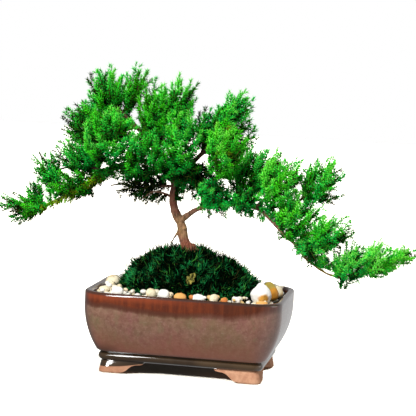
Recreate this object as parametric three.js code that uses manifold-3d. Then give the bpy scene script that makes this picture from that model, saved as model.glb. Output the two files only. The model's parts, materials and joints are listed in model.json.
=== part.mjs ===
// A juniper bonsai in a glazed stoneware pot, dressed with moss, river pebbles and a few stones.
// Millimetres, +Z up. The pot's front faces -Y. The origin lies on the surface that the pot stands on,
// under the middle of the whole outline; the tree leans out further on its right, so the pot stands
// to the left of it. Inside `planting` every place is measured from the middle of the pot's base.
import * as THREE from "three";
import { mergeVertices } from "three/addons/utils/BufferGeometryUtils.js";
import Module from "manifold-3d";

const wasm = await Module();
wasm.setup();

// ---- driving dimensions ----
const clearance = 0.3; // free gap between touching pieces
const potOffset = [-16, 0, 0]; // the pot's middle, seen from the origin

const pot = {
  halfX: 100, // half the rim's outer length
  halfY: 72, // half the rim's outer width
  cornerR: 28, // corner radius of the rim
  height: 82,
  wall: 6.5,
  setback: 0.8, // the wall just under the rim stands this far in from the outline
  curlUnder: 14, // and curls in by this much more towards its foot
  footHeight: 12.5,
  footInset: 19.4, // the foot ring stands this far in from the rim
  footWall: 11,
  footWindows: [120, 76], // widths of the gaps between the feet, at the front and at the ends
  floorTop: 21,
};
const drain = { radius: 8, spacing: 76, netSide: 32, netThick: 1.2, netBar: 2.4, netBars: 3 };
const fill = { soilTop: 68, gravelTop: 77, mossTop: 125 };
// The moss mound is drawn to the left as it rises. A higher steepness gives straighter flanks.
const mound = { x: 4, y: 2, halfX: 86, halfY: 54, lean: -14, steepness: 0.85, swell: 0.04 };
const mossThick = 9;

// ---- materials ----
const finish = (color, roughness, metalness = 0) =>
  new THREE.MeshStandardMaterial({ color, roughness, metalness });
const materials = {
  glaze: finish(0x8c6a58, 0.15),
  mesh: finish(0x1f2a22, 0.7),
  soil: finish(0x3a2a1e, 0.95),
  gravel: finish(0xded2b8, 0.6),
  moss: finish(0x16341a, 0.95),
  bark: finish(0x8f6a4f, 0.85),
  needles: finish(0x2e8a2c, 0.6),
  pebbleWhite: finish(0xf1ece0, 0.4),
  pebbleCream: finish(0xe4d3ad, 0.45),
  pebbleOrange: finish(0xdd8f4a, 0.45),
  pebbleOlive: finish(0x9a8240, 0.45),
  dryLeaf: finish(0xa59b3c, 0.7),
};

// ---- solids ----
// A closed geometry as a manifold-3d solid.
function solidOf(geometry) {
  const bare = geometry.index ? geometry.toNonIndexed() : geometry.clone();
  bare.deleteAttribute("normal");
  bare.deleteAttribute("uv");
  const merged = mergeVertices(bare, 1e-4);
  return new wasm.Manifold(
    new wasm.Mesh({
      numProp: 3,
      vertProperties: merged.attributes.position.array,
      triVerts: new Uint32Array(merged.index.array),
    }),
  );
}

function geometryOf(solid) {
  const { vertProperties, triVerts } = solid.getMesh();
  const geometry = new THREE.BufferGeometry();
  geometry.setAttribute("position", new THREE.BufferAttribute(new Float32Array(vertProperties), 3));
  geometry.setIndex(new THREE.BufferAttribute(new Uint32Array(triVerts), 1));
  geometry.computeVertexNormals();
  return geometry;
}

const unionOf = (solids) => solids.reduce((whole, part) => whole.add(part));

// The largest body of a solid: a cut can leave crumbs beside it.
const mainBody = (solid) =>
  solid.decompose().reduce((best, body) => (body.volume() > best.volume() ? body : best));

function boxesMeet(a, b) {
  const boxA = a.boundingBox();
  const boxB = b.boundingBox();
  return [0, 1, 2].every((k) => boxA.min[k] < boxB.max[k] && boxB.min[k] < boxA.max[k]);
}

function cut(solid, cutters) {
  const near = cutters.filter((cutter) => boxesMeet(solid, cutter));
  return mainBody(near.reduce((left, cutter) => left.subtract(cutter), solid));
}

// A loft through level outlines that have the same number of points, with a flat face at each end.
function loft(sections) {
  const count = sections[0].outline.length;
  const positions = sections.flatMap(({ outline, z }) => outline.flatMap((p) => [p.x, p.y, z]));
  const index = [];
  for (let ring = 0; ring + 1 < sections.length; ring++) {
    for (let i = 0; i < count; i++) {
      const a = ring * count + i;
      const b = ring * count + ((i + 1) % count);
      index.push(a, b, b + count, a, b + count, a + count);
    }
  }
  const last = (sections.length - 1) * count;
  const capOf = ({ outline }) => THREE.ShapeUtils.triangulateShape(outline, []);
  for (const [a, b, c] of capOf(sections[0])) index.push(c, b, a);
  for (const [a, b, c] of capOf(sections.at(-1))) index.push(last + a, last + b, last + c);
  const geometry = new THREE.BufferGeometry();
  geometry.setAttribute("position", new THREE.Float32BufferAttribute(positions, 3));
  geometry.setIndex(index);
  return geometry;
}

function roundedRectangle(halfX, halfY, radius) {
  const shape = new THREE.Shape();
  shape.absarc(halfX - radius, halfY - radius, radius, 0, Math.PI / 2);
  shape.absarc(radius - halfX, halfY - radius, radius, Math.PI / 2, Math.PI);
  shape.absarc(radius - halfX, radius - halfY, radius, Math.PI, Math.PI * 1.5);
  shape.absarc(halfX - radius, radius - halfY, radius, Math.PI * 1.5, Math.PI * 2);
  return shape;
}

// The pot's plan outline, drawn in from the rim's outer edge. Its corners tighten as it shrinks.
const cornerSteps = 4;
const cornerShrink = 0.78;
function potOutline(inset) {
  const radius = Math.max(pot.cornerR - cornerShrink * inset, 4);
  const points = roundedRectangle(pot.halfX - inset, pot.halfY - inset, radius).getPoints(cornerSteps);
  return points.slice(0, -1);
}
const potLoft = (profile) =>
  solidOf(loft(profile.map(([inset, z]) => ({ outline: potOutline(inset), z }))));

// How far the wall's outer face lies in from the rim's edge at height z: upright, then curling under.
const wallFoot = 22; // height where the wall meets the base moulding
const curlTop = 68;
function wallInset(z) {
  const down = Math.max(0, (curlTop - z) / (curlTop - wallFoot));
  return pot.setback + pot.curlUnder * down ** 2.1;
}

// The inner face follows the outer one, in straight steps between these heights.
const innerLevels = [pot.floorTop + 2, 30, 42, 58, 79];
function innerInset(z) {
  const at = (level) => wallInset(level) + pot.wall;
  const i = Math.max(1, innerLevels.findIndex((level) => level >= z));
  const [low, high] = [innerLevels[i - 1], innerLevels[i]];
  return THREE.MathUtils.mapLinear(z, low, high, at(low), at(high));
}
const floorCove = 3; // the inner corner at the floor is filled by this much

// ---- the pot ----
function makePot() {
  const levels = [22.4, 27, 33, 41, 52, 66, 79];
  const rimRound = [
    [1.1, pot.height - 1.4],
    [2, pot.height - 0.3],
    [3.2, pot.height],
    [pot.wall - 1.2, pot.height],
    [pot.wall + 0.2, pot.height - 1],
  ];
  // The base moulding: a roll that stands out between two grooves.
  const moulding = [
    [20, pot.footHeight],
    [17.6, 13.8],
    [17, 16.5],
    [17.6, 19],
    [18.6, 20.2],
    [16.6, 21.2],
  ];
  const outside = levels.map((z) => [wallInset(z), z]);
  const inside = innerLevels.toReversed().map((z) => [innerInset(z), z]);
  const floorEdge = [innerInset(innerLevels[0]) + floorCove, pot.floorTop];
  const body = potLoft([...moulding, ...outside, ...rimRound, ...inside, floorEdge]);

  // The foot ring flares a little towards the ground. Windows cut through it leave four corner feet.
  const ringOutside = potLoft([
    [pot.footInset - 1, 0],
    [pot.footInset - 1.3, 1.5],
    [pot.footInset, 8],
    [pot.footInset + 1.4, pot.footHeight + 1],
  ]);
  const ringInside = potLoft([
    [pot.footInset + pot.footWall, -1],
    [pot.footInset + pot.footWall, pot.footHeight + 0.5],
  ]);
  const [frontWindow, endWindow] = pot.footWindows;
  const windowX = solidOf(
    footWindow(frontWindow, 4 * pot.halfY)
      .rotateX(Math.PI / 2)
      .translate(0, 2 * pot.halfY, 0),
  );
  const windowY = solidOf(
    footWindow(endWindow, 4 * pot.halfX)
      .rotateX(Math.PI / 2)
      .rotateZ(Math.PI / 2)
      .translate(-2 * pot.halfX, 0, 0),
  );
  const feet = ringOutside.subtract(ringInside).subtract(windowX).subtract(windowY);

  const holes = [-1, 1].map((side) =>
    solidOf(
      new THREE.CylinderGeometry(drain.radius, drain.radius, 30, 20)
        .rotateX(Math.PI / 2)
        .translate((side * drain.spacing) / 2, 0, pot.floorTop - 5),
    ),
  );
  return body.add(feet).subtract(holes[0]).subtract(holes[1]);
}

// The scrolled gap between two feet: wide at the ground, drawn in by a hollow curve on each side.
function footWindow(width, depth) {
  const half = width / 2;
  const top = pot.footHeight;
  const shape = new THREE.Shape();
  shape.moveTo(-half, -1);
  shape.lineTo(half, -1);
  shape.lineTo(half, 0.5);
  shape.quadraticCurveTo(half - 5, 1.5, half - 9, 5.5);
  shape.quadraticCurveTo(half - 13, 9, half - 20, 9.5);
  shape.quadraticCurveTo(half - 24, 9.8, half - 25, top);
  shape.lineTo(25 - half, top);
  shape.quadraticCurveTo(24 - half, 9.8, 20 - half, 9.5);
  shape.quadraticCurveTo(13 - half, 9, 9 - half, 5.5);
  shape.quadraticCurveTo(5 - half, 1.5, -half, 0.5);
  return new THREE.ExtrudeGeometry(shape, { depth, bevelEnabled: false, curveSegments: 2 });
}

// A square of plastic net over each drain hole: two sets of crossed bars.
function makeDrainNet(side) {
  const { netSide, netThick, netBar, netBars } = drain;
  const bars = [];
  for (let i = 0; i < netBars; i++) {
    const across = ((i / (netBars - 1)) * 2 - 1) * ((netSide - netBar) / 2);
    bars.push(solidOf(new THREE.BoxGeometry(netSide, netBar, netThick).translate(0, across, 0)));
    bars.push(solidOf(new THREE.BoxGeometry(netBar, netSide, netThick).translate(across, 0, 0)));
  }
  const z = pot.floorTop + clearance + netThick / 2;
  return unionOf(bars).translate([(side * drain.spacing) / 2, 0, z]);
}

// ---- the wood ----
// A limb is turned as a tapered spindle, then bent along its route.
function limb({ route, radii, sides = 5, steps }, grow = 0) {
  const places = route.map((p) => new THREE.Vector3(...p));
  const curve = new THREE.CatmullRomCurve3(places, false, "centripetal");
  const count = steps ?? Math.max(4, Math.round(curve.getLength() / 18));
  const frames = curve.computeFrenetFrames(count);
  const radiusAt = (t) => {
    const place = t * (radii.length - 1);
    const i = Math.min(Math.floor(place), radii.length - 2);
    return grow + THREE.MathUtils.lerp(radii[i], radii[i + 1], place - i);
  };
  const profile = [new THREE.Vector2(0, 0)];
  for (let i = 0; i <= count; i++) profile.push(new THREE.Vector2(radiusAt(i / count), i));
  profile.push(new THREE.Vector2(0, count));
  const geometry = new THREE.LatheGeometry(profile, sides);
  const place = geometry.attributes.position;
  const v = new THREE.Vector3();
  for (let k = 0; k < place.count; k++) {
    const i = Math.round(place.getY(k));
    v.copy(curve.getPointAt(i / count));
    v.addScaledVector(frames.normals[i], place.getX(k));
    v.addScaledVector(frames.binormals[i], -place.getZ(k));
    // Both ends bulge a little, so that a grown copy also covers the tips.
    if (i === 0) v.addScaledVector(frames.tangents[i], -grow);
    if (i === count) v.addScaledVector(frames.tangents[i], grow);
    place.setXYZ(k, v.x, v.y, v.z);
  }
  return solidOf(geometry);
}

const limbs = [
  // the trunk, from inside the root ball to the leader's tip
  {
    route: [
      [4, 0, 66], [0, 0, 98], [-3, 0, 116], [-6, 0, 125], [-11, 0, 135], [-14, 0, 147], [-18, 0, 155],
      [-22.5, 0, 165], [-23.5, 0, 174], [-22.5, 0, 184], [-24, 1, 195], [-26, 2, 207], [-23, 4, 232],
      [-22, 4, 266],
    ],
    radii: [13, 11, 8.5, 7, 5.9, 5.2, 5, 4.3, 4.2, 4.2, 3.9, 3.2, 2.2, 1.2],
    sides: 8,
    steps: 16,
  },
  // roots that hold the root ball
  { route: [[2, 0, 74], [22, -6, 62], [46, -14, 44]], radii: [6.5, 4.5, 2] },
  { route: [[-2, 0, 74], [-24, -8, 60], [-48, -10, 42]], radii: [6.5, 4.5, 2] },
  { route: [[0, 2, 72], [8, 20, 58], [14, 34, 40]], radii: [6, 4, 2] },
  { route: [[0, -2, 72], [-8, -20, 58], [-12, -34, 40]], radii: [6, 4, 2] },
  // a stub that props the trunk's left side
  { route: [[-14, -1, 142], [-19, -1, 135], [-23, -2, 127]], radii: [1.9, 1.6, 1.2] },
  // the long right branch, which arches out and cascades past the pot
  {
    route: [
      [-15, -1, 151], [-8, -3, 156], [-2, -5, 161], [6, -7, 165], [32, -12, 171], [52, -15, 172],
      [66, -17, 169], [80, -19, 159], [96, -21, 144], [104, -21, 138], [117, -22, 124], [125, -22, 118],
      [133, -22, 113], [142, -21, 109], [155, -20, 108], [171, -19, 112], [188, -18, 118],
      [203, -17, 126], [214, -16, 132],
    ],
    radii: [3.4, 3.1, 2.6, 2.2, 2.2, 2.1, 2, 1.9, 1.8, 1.7, 1.6, 1.4, 1.3, 1.2, 1.1, 1, 0.9, 0.8, 0.7],
    steps: 20,
  },
  // branches that rise from it
  { route: [[8, -8, 167], [7, -9, 176], [4, -14, 186]], radii: [1.2, 1, 0.8] },
  { route: [[10, -9, 168], [16, -18, 176], [22, -24, 186]], radii: [1.4, 1.1, 0.8] },
  { route: [[36, -13, 171], [56, -6, 188], [74, 4, 208]], radii: [1.9, 1.5, 1] },
  { route: [[62, -16, 169], [76, -22, 184], [88, -24, 202]], radii: [1.9, 1.4, 1] },
  {
    route: [[78, -19, 160], [104, -12, 178], [122, -8, 194], [136, -6, 208]],
    radii: [1.8, 1.4, 1.1, 0.8],
  },
  { route: [[96, -21, 144], [118, -24, 148], [142, -26, 154]], radii: [1.6, 1.2, 0.8] },
  // the right crown
  {
    route: [[-23, 0, 188], [-8, -4, 206], [12, -6, 228], [30, -6, 250], [42, -4, 266]],
    radii: [2.8, 2.5, 2, 1.4, 0.9],
  },
  { route: [[10, -6, 226], [24, -22, 230], [34, -36, 226]], radii: [1.7, 1.3, 0.9] },
  { route: [[4, -5, 219], [16, 16, 226], [28, 36, 228]], radii: [1.7, 1.3, 0.9] },
  // the left branch, which sweeps down past the pot
  {
    route: [
      [-25, 2, 201], [-40, -3, 207], [-55, -7, 209], [-69, -10, 206], [-87, -13, 198], [-97, -15, 193],
      [-108, -17, 184], [-124, -20, 174], [-137, -22, 166], [-147, -24, 160], [-155, -25, 155],
      [-165, -26, 152], [-176, -27, 155],
    ],
    radii: [2.9, 2.7, 2.6, 2.5, 2.4, 2.3, 2.2, 2, 1.7, 1.5, 1.3, 1.1, 0.9],
    steps: 14,
  },
  {
    route: [[-92, -14, 196], [-112, -8, 200], [-132, -4, 198], [-148, -6, 192]],
    radii: [1.6, 1.3, 1, 0.8],
  },
  // the left crown
  {
    route: [[-25, 2, 204], [-46, 0, 226], [-66, -2, 244], [-84, -2, 262], [-92, -2, 280]],
    radii: [2.8, 2.5, 2, 1.5, 1],
  },
  { route: [[-64, -2, 242], [-78, -22, 238], [-90, -38, 234]], radii: [1.6, 1.2, 0.8] },
  { route: [[-60, -2, 238], [-72, 18, 246], [-82, 36, 250]], radii: [1.6, 1.2, 0.8] },
  { route: [[-66, -2, 244], [-90, -2, 244], [-114, -4, 240]], radii: [1.6, 1.2, 0.8] },
  { route: [[-54, -1, 233], [-62, 2, 258], [-66, 4, 284]], radii: [1.7, 1.3, 0.9] },
  // the middle crown
  { route: [[-25, 2, 208], [-38, 2, 236], [-46, 0, 262]], radii: [2, 1.5, 1] },
  { route: [[-25, 0, 206], [-34, -20, 218], [-40, -36, 224]], radii: [1.9, 1.4, 0.9] },
  { route: [[-24, 4, 218], [-28, 26, 234], [-30, 44, 246]], radii: [1.9, 1.4, 0.9] },
  { route: [[-23, 4, 226], [-16, 0, 240], [-12, -4, 256]], radii: [1.6, 1.2, 0.8] },
  // thin twigs that hang below the crown on the left
  {
    route: [[-22, 0, 185], [-38, 1, 184], [-59, 3, 181], [-78, 5, 183], [-90, 6, 181]],
    radii: [1.5, 1.3, 1.1, 0.9, 0.7],
  },
  {
    route: [[-23, 0, 172], [-31, -4, 177], [-44, -6, 178], [-51, -7, 173], [-57, -8, 169]],
    radii: [1.3, 1.1, 0.9, 0.8, 0.6],
  },
  { route: [[-23, 0, 190], [-41, 4, 194], [-61, 8, 196], [-78, 10, 195]], radii: [1.5, 1.2, 1, 0.7] },
];
const makeWood = (grow) => unionOf(limbs.map((l) => limb(l, grow)));

// ---- foliage ----
// Each pad is the outer shape of one leafy spray: a rounded cushion with shallow lobes.
// centre, half sizes along its own length, depth and height, and its tilt in the XZ plane in degrees.
const pads = {
  left_tip: { centre: [-177, -27, 155], half: [21, 17, 14], tilt: 8 },
  left_tip_upper: { centre: [-163, -24, 174], half: [9, 14, 15], tilt: 20 },
  left_arm_outer: { centre: [-152, -16, 196], half: [14, 20, 15], tilt: -20 },
  left_arm_lower: { centre: [-128, -22, 182], half: [24, 20, 13], tilt: -14 },
  left_arm_under: { centre: [-104, -14, 187], half: [14, 13, 7], tilt: -32 },
  left_arm_upper: { centre: [-120, -2, 213], half: [28, 30, 17], tilt: -14 },
  left_crown_edge: { centre: [-122, -6, 242], half: [16, 24, 23], tilt: 0 },
  left_crown_front: { centre: [-82, -36, 234], half: [31, 25, 28], tilt: 0 },
  left_crown_top: { centre: [-96, -2, 280], half: [20, 26, 23], tilt: 0 },
  left_crown_peak: { centre: [-68, 4, 282], half: [14, 22, 23], tilt: 8 },
  left_crown_back: { centre: [-108, 40, 247], half: [30, 26, 26], tilt: 0 },
  mid_crown_left: { centre: [-45, -4, 262], half: [18, 24, 30], tilt: 4 },
  mid_crown_top: { centre: [-20, 8, 274], half: [15, 26, 25], tilt: 0 },
  mid_crown_front: { centre: [-48, -38, 219], half: [28, 23, 24], tilt: 0 },
  mid_crown_right: { centre: [-12, -22, 236], half: [21, 22, 26], tilt: 0 },
  mid_crown_back: { centre: [-46, 50, 250], half: [30, 26, 30], tilt: 0 },
  mid_crown_low: { centre: [-18, -26, 203], half: [23, 22, 14], tilt: 0 },
  under_left_twig: { centre: [-60, 6, 182], half: [29, 20, 13], tilt: -4 },
  right_crown_top: { centre: [36, -4, 267], half: [23, 24, 14], tilt: -38 },
  right_crown_inner: { centre: [10, 2, 248], half: [14, 24, 22], tilt: -10 },
  right_crown_front: { centre: [35, -40, 227], half: [20, 24, 28], tilt: -6 },
  right_crown_back: { centre: [26, 42, 238], half: [26, 27, 28], tilt: -10 },
  right_crown_under: { centre: [7, -6, 191], half: [18, 20, 18], tilt: 0 },
  right_crown_low: { centre: [24, -30, 178], half: [17, 19, 19], tilt: 0 },
  right_arm_inner: { centre: [57, 10, 205], half: [26, 30, 25], tilt: 0 },
  right_arm_front: { centre: [89, -26, 200], half: [21, 24, 28], tilt: -10 },
  right_arm_low: { centre: [57, -30, 180], half: [17, 15, 12], tilt: 0 },
  right_outer_top: { centre: [127, -6, 204], half: [27, 22, 19], tilt: -35 },
  right_outer_twig: { centre: [139, -12, 183], half: [13, 8, 5], tilt: -8 },
  right_mid_upper: { centre: [108, -24, 167], half: [23, 23, 24], tilt: -10 },
  right_mid_outer: { centre: [140, -26, 151], half: [22, 22, 17], tilt: -22 },
  right_mid_under: { centre: [126, -26, 132], half: [21, 17, 14], tilt: 0 },
  right_tip_inner: { centre: [164, -20, 124], half: [21, 22, 19], tilt: -6 },
  right_tip_outer: { centre: [191, -18, 128], half: [16, 20, 20], tilt: -14 },
  right_tip_end: { centre: [213, -16, 133], half: [14, 10, 9], tilt: -22 },
};

const lobeDepth = 0.07;
function padSolid({ centre, half, tilt }, phase, grow = 0) {
  const geometry = new THREE.IcosahedronGeometry(1, 1);
  const place = geometry.attributes.position;
  const v = new THREE.Vector3();
  for (let k = 0; k < place.count; k++) {
    v.fromBufferAttribute(place, k);
    const turn = Math.atan2(v.z, v.x);
    const lobe = 1 - lobeDepth + lobeDepth * Math.sin(5 * turn + phase) * Math.cos(2 * v.y + phase);
    v.multiplyScalar(lobe);
    place.setXYZ(k, v.x, v.y, v.z);
  }
  geometry.scale(...half.map((h) => h + grow));
  geometry.rotateY(THREE.MathUtils.degToRad(tilt));
  geometry.translate(...centre);
  return solidOf(geometry);
}

// ---- ground cover ----
// A domed cushion over a level outline, with its flat underside at z = base.
function dome({ halfX, halfY, x, y, lean, steepness, swell }, base, top) {
  const rings = 5;
  const around = 22;
  const ringAt = (i) => new THREE.Vector2(Math.sin((i / rings) * (Math.PI / 2)), i);
  const profile = [new THREE.Vector2(0, 0)];
  for (let i = rings; i >= 0; i--) profile.push(ringAt(i));
  const geometry = new THREE.LatheGeometry(profile, around);
  const place = geometry.attributes.position;
  for (let k = 0; k < place.count; k++) {
    const px = place.getX(k);
    const py = -place.getZ(k);
    const out = Math.min(1, Math.hypot(px, py));
    const isUnderside = k % profile.length === 0;
    const rise = isUnderside ? 0 : (1 - out * out) ** steepness;
    const wave = 1 + swell * Math.sin(3 * Math.atan2(py, px));
    const across = x + lean * rise + halfX * px * wave;
    place.setXYZ(k, across, y + halfY * py * wave, base + (top - base) * rise);
  }
  return solidOf(geometry);
}

// What fills the pot between two heights, with a gap to the wall.
function filling(from, to) {
  const wallAt = (z) => (z < innerLevels[0] ? innerInset(innerLevels[0]) + floorCove : innerInset(z));
  const levels = [from, ...innerLevels.filter((z) => z > from && z < to), to];
  return potLoft(levels.map((z) => [wallAt(z) + clearance, z]));
}

// The mound at a given size: grow it for a cutter, or shrink it for what lies under the moss.
function moundDome(grow, base) {
  const size = { ...mound, halfX: mound.halfX + grow, halfY: mound.halfY + grow };
  return dome(size, fill.soilTop - 1, fill.mossTop + grow).trimByPlane([0, 0, 1], base);
}

const makeSoil = () =>
  filling(pot.floorTop + 2 * clearance + drain.netThick, fill.soilTop).add(
    moundDome(-mossThick, fill.soilTop - 1),
  );
const makeMoss = () =>
  moundDome(0, fill.soilTop + clearance).subtract(moundDome(clearance - mossThick, fill.soilTop - 1));
const makeGravelBed = () =>
  filling(fill.soilTop + clearance, fill.gravelTop).subtract(moundDome(clearance, fill.soilTop - 1));

// Stones and pebbles: x and y of the middle, half sizes, turn about Z and lean in degrees, finish.
const stones = {
  stone_white_large: { at: [76, -42], half: [11, 8, 11], turn: 12, lean: 14, finish: "pebbleWhite" },
  stone_olive: { at: [82, -22], half: [10, 8, 10], turn: -20, lean: -18, finish: "pebbleOlive" },
  stone_cream: { at: [86, 0], half: [7, 8, 7], turn: 30, lean: -14, finish: "pebbleCream" },
  stone_tan_left: { at: [-83, 6], half: [8.5, 12, 6], turn: 8, lean: 6, finish: "pebbleCream" },
};
const pebbles = [
  { at: [-82, -38], half: [6, 5, 3.6], turn: 20, finish: "pebbleCream" },
  { at: [-65, -52], half: [6.4, 5, 4.6], turn: 0, finish: "pebbleWhite" },
  { at: [-31, -54], half: [5.2, 4.6, 5.4], turn: 10, finish: "pebbleCream" },
  { at: [-18, -56], half: [6.4, 5, 5.6], turn: -12, finish: "pebbleWhite" },
  { at: [-1, -58], half: [6.6, 4.4, 4.2], turn: 8, finish: "pebbleOrange" },
  { at: [17, -57], half: [7, 4.6, 4.4], turn: -6, finish: "pebbleWhite" },
  { at: [32, -55], half: [4.6, 4.4, 4.8], turn: 24, finish: "pebbleCream" },
  { at: [43, -58], half: [3.8, 3.6, 3.6], turn: 0, finish: "pebbleOrange" },
  { at: [54, -54], half: [4.4, 4, 4.2], turn: 40, finish: "pebbleWhite" },
  { at: [80, -57], half: [6, 4, 3.4], turn: 20, finish: "pebbleOrange" },
  { at: [-52, 56], half: [6.2, 5, 4.4], turn: 14, finish: "pebbleWhite" },
  { at: [56, 56], half: [5.6, 5, 4.6], turn: 30, finish: "pebbleWhite" },
];
function stoneSolid({ at, half, turn, lean = 0 }, index) {
  const geometry = new THREE.IcosahedronGeometry(1, 1);
  const place = geometry.attributes.position;
  const v = new THREE.Vector3();
  for (let k = 0; k < place.count; k++) {
    v.fromBufferAttribute(place, k);
    v.multiplyScalar(1 + 0.08 * Math.sin(2.3 * v.x + index) * Math.cos(1.9 * v.y - index));
    place.setXYZ(k, v.x, v.y, v.z);
  }
  geometry.scale(...half);
  geometry.rotateX(THREE.MathUtils.degToRad(lean));
  geometry.rotateZ(THREE.MathUtils.degToRad(turn));
  geometry.computeBoundingBox();
  const lift = fill.gravelTop + clearance - geometry.boundingBox.min.z;
  return solidOf(geometry.translate(at[0], at[1], lift));
}

// A curled yellow leaf that has dropped on the front of the moss.
function makeDryLeaf() {
  const leaf = new THREE.Shape();
  leaf.moveTo(0, -8);
  leaf.bezierCurveTo(7, -5, 7, 3, 1, 8);
  leaf.bezierCurveTo(-6, 5, -7, -4, 0, -8);
  const geometry = new THREE.ExtrudeGeometry(leaf, { depth: 1, bevelEnabled: false, curveSegments: 5 });
  return geometry.rotateX(THREE.MathUtils.degToRad(52)).rotateZ(THREE.MathUtils.degToRad(8));
}

// ---- assembly ----
const planting = new THREE.Group();
planting.position.set(...potOffset);
const taken = []; // grown copies of what is already placed, which later pieces are cut clear of

function place(name, solid, material) {
  const mesh = new THREE.Mesh(geometryOf(solid), material);
  mesh.name = name;
  planting.add(mesh);
}

place("pot", makePot(), materials.glaze);
place("drain_net_left", makeDrainNet(-1), materials.mesh);
place("drain_net_right", makeDrainNet(1), materials.mesh);

const wood = makeWood(0);
const woodClear = makeWood(clearance);
place("trunk_and_branches", wood, materials.bark);
place("soil", cut(makeSoil(), [woodClear]), materials.soil);
place("moss_mound", cut(makeMoss(), [woodClear]), materials.moss);
place("gravel_bed", mainBody(makeGravelBed()), materials.gravel);

// The stones lie in the room that the pot's inner wall leaves, and above it.
const openAir = 200;
const potBore = filling(innerLevels[1], innerLevels.at(-1)).add(
  solidOf(
    new THREE.BoxGeometry(4 * pot.halfX, 4 * pot.halfX, openAir)
      .translate(0, 0, innerLevels.at(-1) + openAir / 2 - clearance),
  ),
);
const stoneClear = [moundDome(clearance, fill.soilTop - 1)];
function placeStone(name, stone, i) {
  const solid = cut(stoneSolid(stone, i).intersect(potBore), stoneClear);
  const grown = { ...stone, half: stone.half.map((h) => h + clearance) };
  stoneClear.push(stoneSolid(grown, i).translate([0, 0, clearance / -2]));
  place(name, solid, materials[stone.finish]);
}
Object.entries(stones).forEach(([name, stone], i) => placeStone(name, stone, i));
pebbles.forEach((stone, i) => placeStone("pebble_" + String(i + 1).padStart(2, "0"), stone, i));
place("dry_leaf", solidOf(makeDryLeaf().translate(6, -43, 98)), materials.dryLeaf);

Object.entries(pads).forEach(([name, pad], i) => {
  const solid = cut(padSolid(pad, i), [woodClear, ...taken]);
  taken.push(padSolid(pad, i, clearance));
  place("foliage_" + name, solid, materials.needles);
});

export default planting;
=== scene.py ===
import json
import math
import bpy
import numpy as np
from mathutils import Matrix, Vector, noise

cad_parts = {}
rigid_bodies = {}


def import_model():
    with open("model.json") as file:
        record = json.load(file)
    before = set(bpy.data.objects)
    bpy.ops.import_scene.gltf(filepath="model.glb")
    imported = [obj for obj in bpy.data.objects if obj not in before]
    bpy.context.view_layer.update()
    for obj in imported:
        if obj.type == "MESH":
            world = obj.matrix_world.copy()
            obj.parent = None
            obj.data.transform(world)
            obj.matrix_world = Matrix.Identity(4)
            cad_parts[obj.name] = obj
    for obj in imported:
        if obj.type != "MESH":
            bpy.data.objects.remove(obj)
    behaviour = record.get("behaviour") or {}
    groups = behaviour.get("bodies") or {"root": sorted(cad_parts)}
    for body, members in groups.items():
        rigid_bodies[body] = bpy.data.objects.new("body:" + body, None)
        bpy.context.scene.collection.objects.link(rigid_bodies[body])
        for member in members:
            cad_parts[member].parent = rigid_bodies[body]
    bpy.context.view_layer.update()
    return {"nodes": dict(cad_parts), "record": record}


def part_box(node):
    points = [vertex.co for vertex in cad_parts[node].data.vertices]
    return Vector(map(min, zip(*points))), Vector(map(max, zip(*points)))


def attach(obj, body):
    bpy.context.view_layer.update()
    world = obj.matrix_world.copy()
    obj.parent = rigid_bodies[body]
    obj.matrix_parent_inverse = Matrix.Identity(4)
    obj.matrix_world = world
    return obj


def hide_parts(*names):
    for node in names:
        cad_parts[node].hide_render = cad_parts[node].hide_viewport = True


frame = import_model()
nodes = frame["nodes"]
mm = 0.001

potLow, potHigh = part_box("pot")
potX = (potLow.x + potHigh.x) / 2
potY = (potLow.y + potHigh.y) / 2
potMiddle = Vector((potX, potY, 0))
print("frame loaded, pot middle at", round(potX, 4), round(potY, 4))


def deselectAll():
    if bpy.context.object and bpy.context.object.mode != "OBJECT":
        bpy.ops.object.mode_set(mode="OBJECT")
    for other in bpy.context.view_layer.objects:
        other.select_set(False)


def added(name, data):  # a new object in the scene
    piece = bpy.data.objects.new(name, data)
    bpy.context.scene.collection.objects.link(piece)
    return piece


def takeNew(name):  # the shape that was just made
    piece = bpy.context.object
    piece.name = name
    piece.data.name = name
    return piece


def workOn(piece):
    deselectAll()
    bpy.context.view_layer.objects.active = piece
    piece.select_set(True)


def settle(piece):  # place and size go into the mesh
    workOn(piece)
    bpy.ops.object.transform_apply(location=True, rotation=True, scale=True)


def applyModifier(piece, kind, **settings):
    workOn(piece)
    modifier = piece.modifiers.new(kind.lower(), kind)
    for key, value in settings.items():
        setattr(modifier, key, value)
    bpy.ops.object.modifier_apply(modifier=modifier.name)


def turnOutward():  # all faces of the shape in edit mode, which then closes
    bpy.ops.mesh.select_all(action="SELECT")
    bpy.ops.mesh.normals_make_consistent(inside=False)
    bpy.ops.object.mode_set(mode="OBJECT")


def cutWith(piece, cutter):
    applyModifier(piece, "BOOLEAN", operation="DIFFERENCE", solver="EXACT", object=cutter)
    bpy.data.objects.remove(cutter)


def mergedCopy(node, name):  # a CAD node's mesh is loose triangles, so its doubles are merged
    piece = added(name, nodes[node].data.copy())
    piece.data.materials.clear()
    workOn(piece)
    bpy.ops.object.mode_set(mode="EDIT")
    bpy.ops.mesh.select_all(action="SELECT")
    bpy.ops.mesh.remove_doubles(threshold=1e-5)
    bpy.ops.object.mode_set(mode="OBJECT")
    return piece


def finishPiece(piece, look, *stoodFor, slot=None, smooth=True):
    piece.data.materials.clear()
    piece.data.materials.append(look.material)
    if smooth:
        workOn(piece)
        bpy.ops.object.shade_smooth()
    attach(piece, "root")
    if stoodFor:
        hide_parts(*stoodFor)
    deselectAll()


def meshArrays(piece):
    mesh = piece.data
    mesh.calc_loop_triangles()
    points = np.zeros(len(mesh.vertices) * 3)
    mesh.vertices.foreach_get("co", points)
    corners = np.zeros(len(mesh.loop_triangles) * 3, int)
    mesh.loop_triangles.foreach_get("vertices", corners)
    return points.reshape(-1, 3), corners.reshape(-1, 3)


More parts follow.
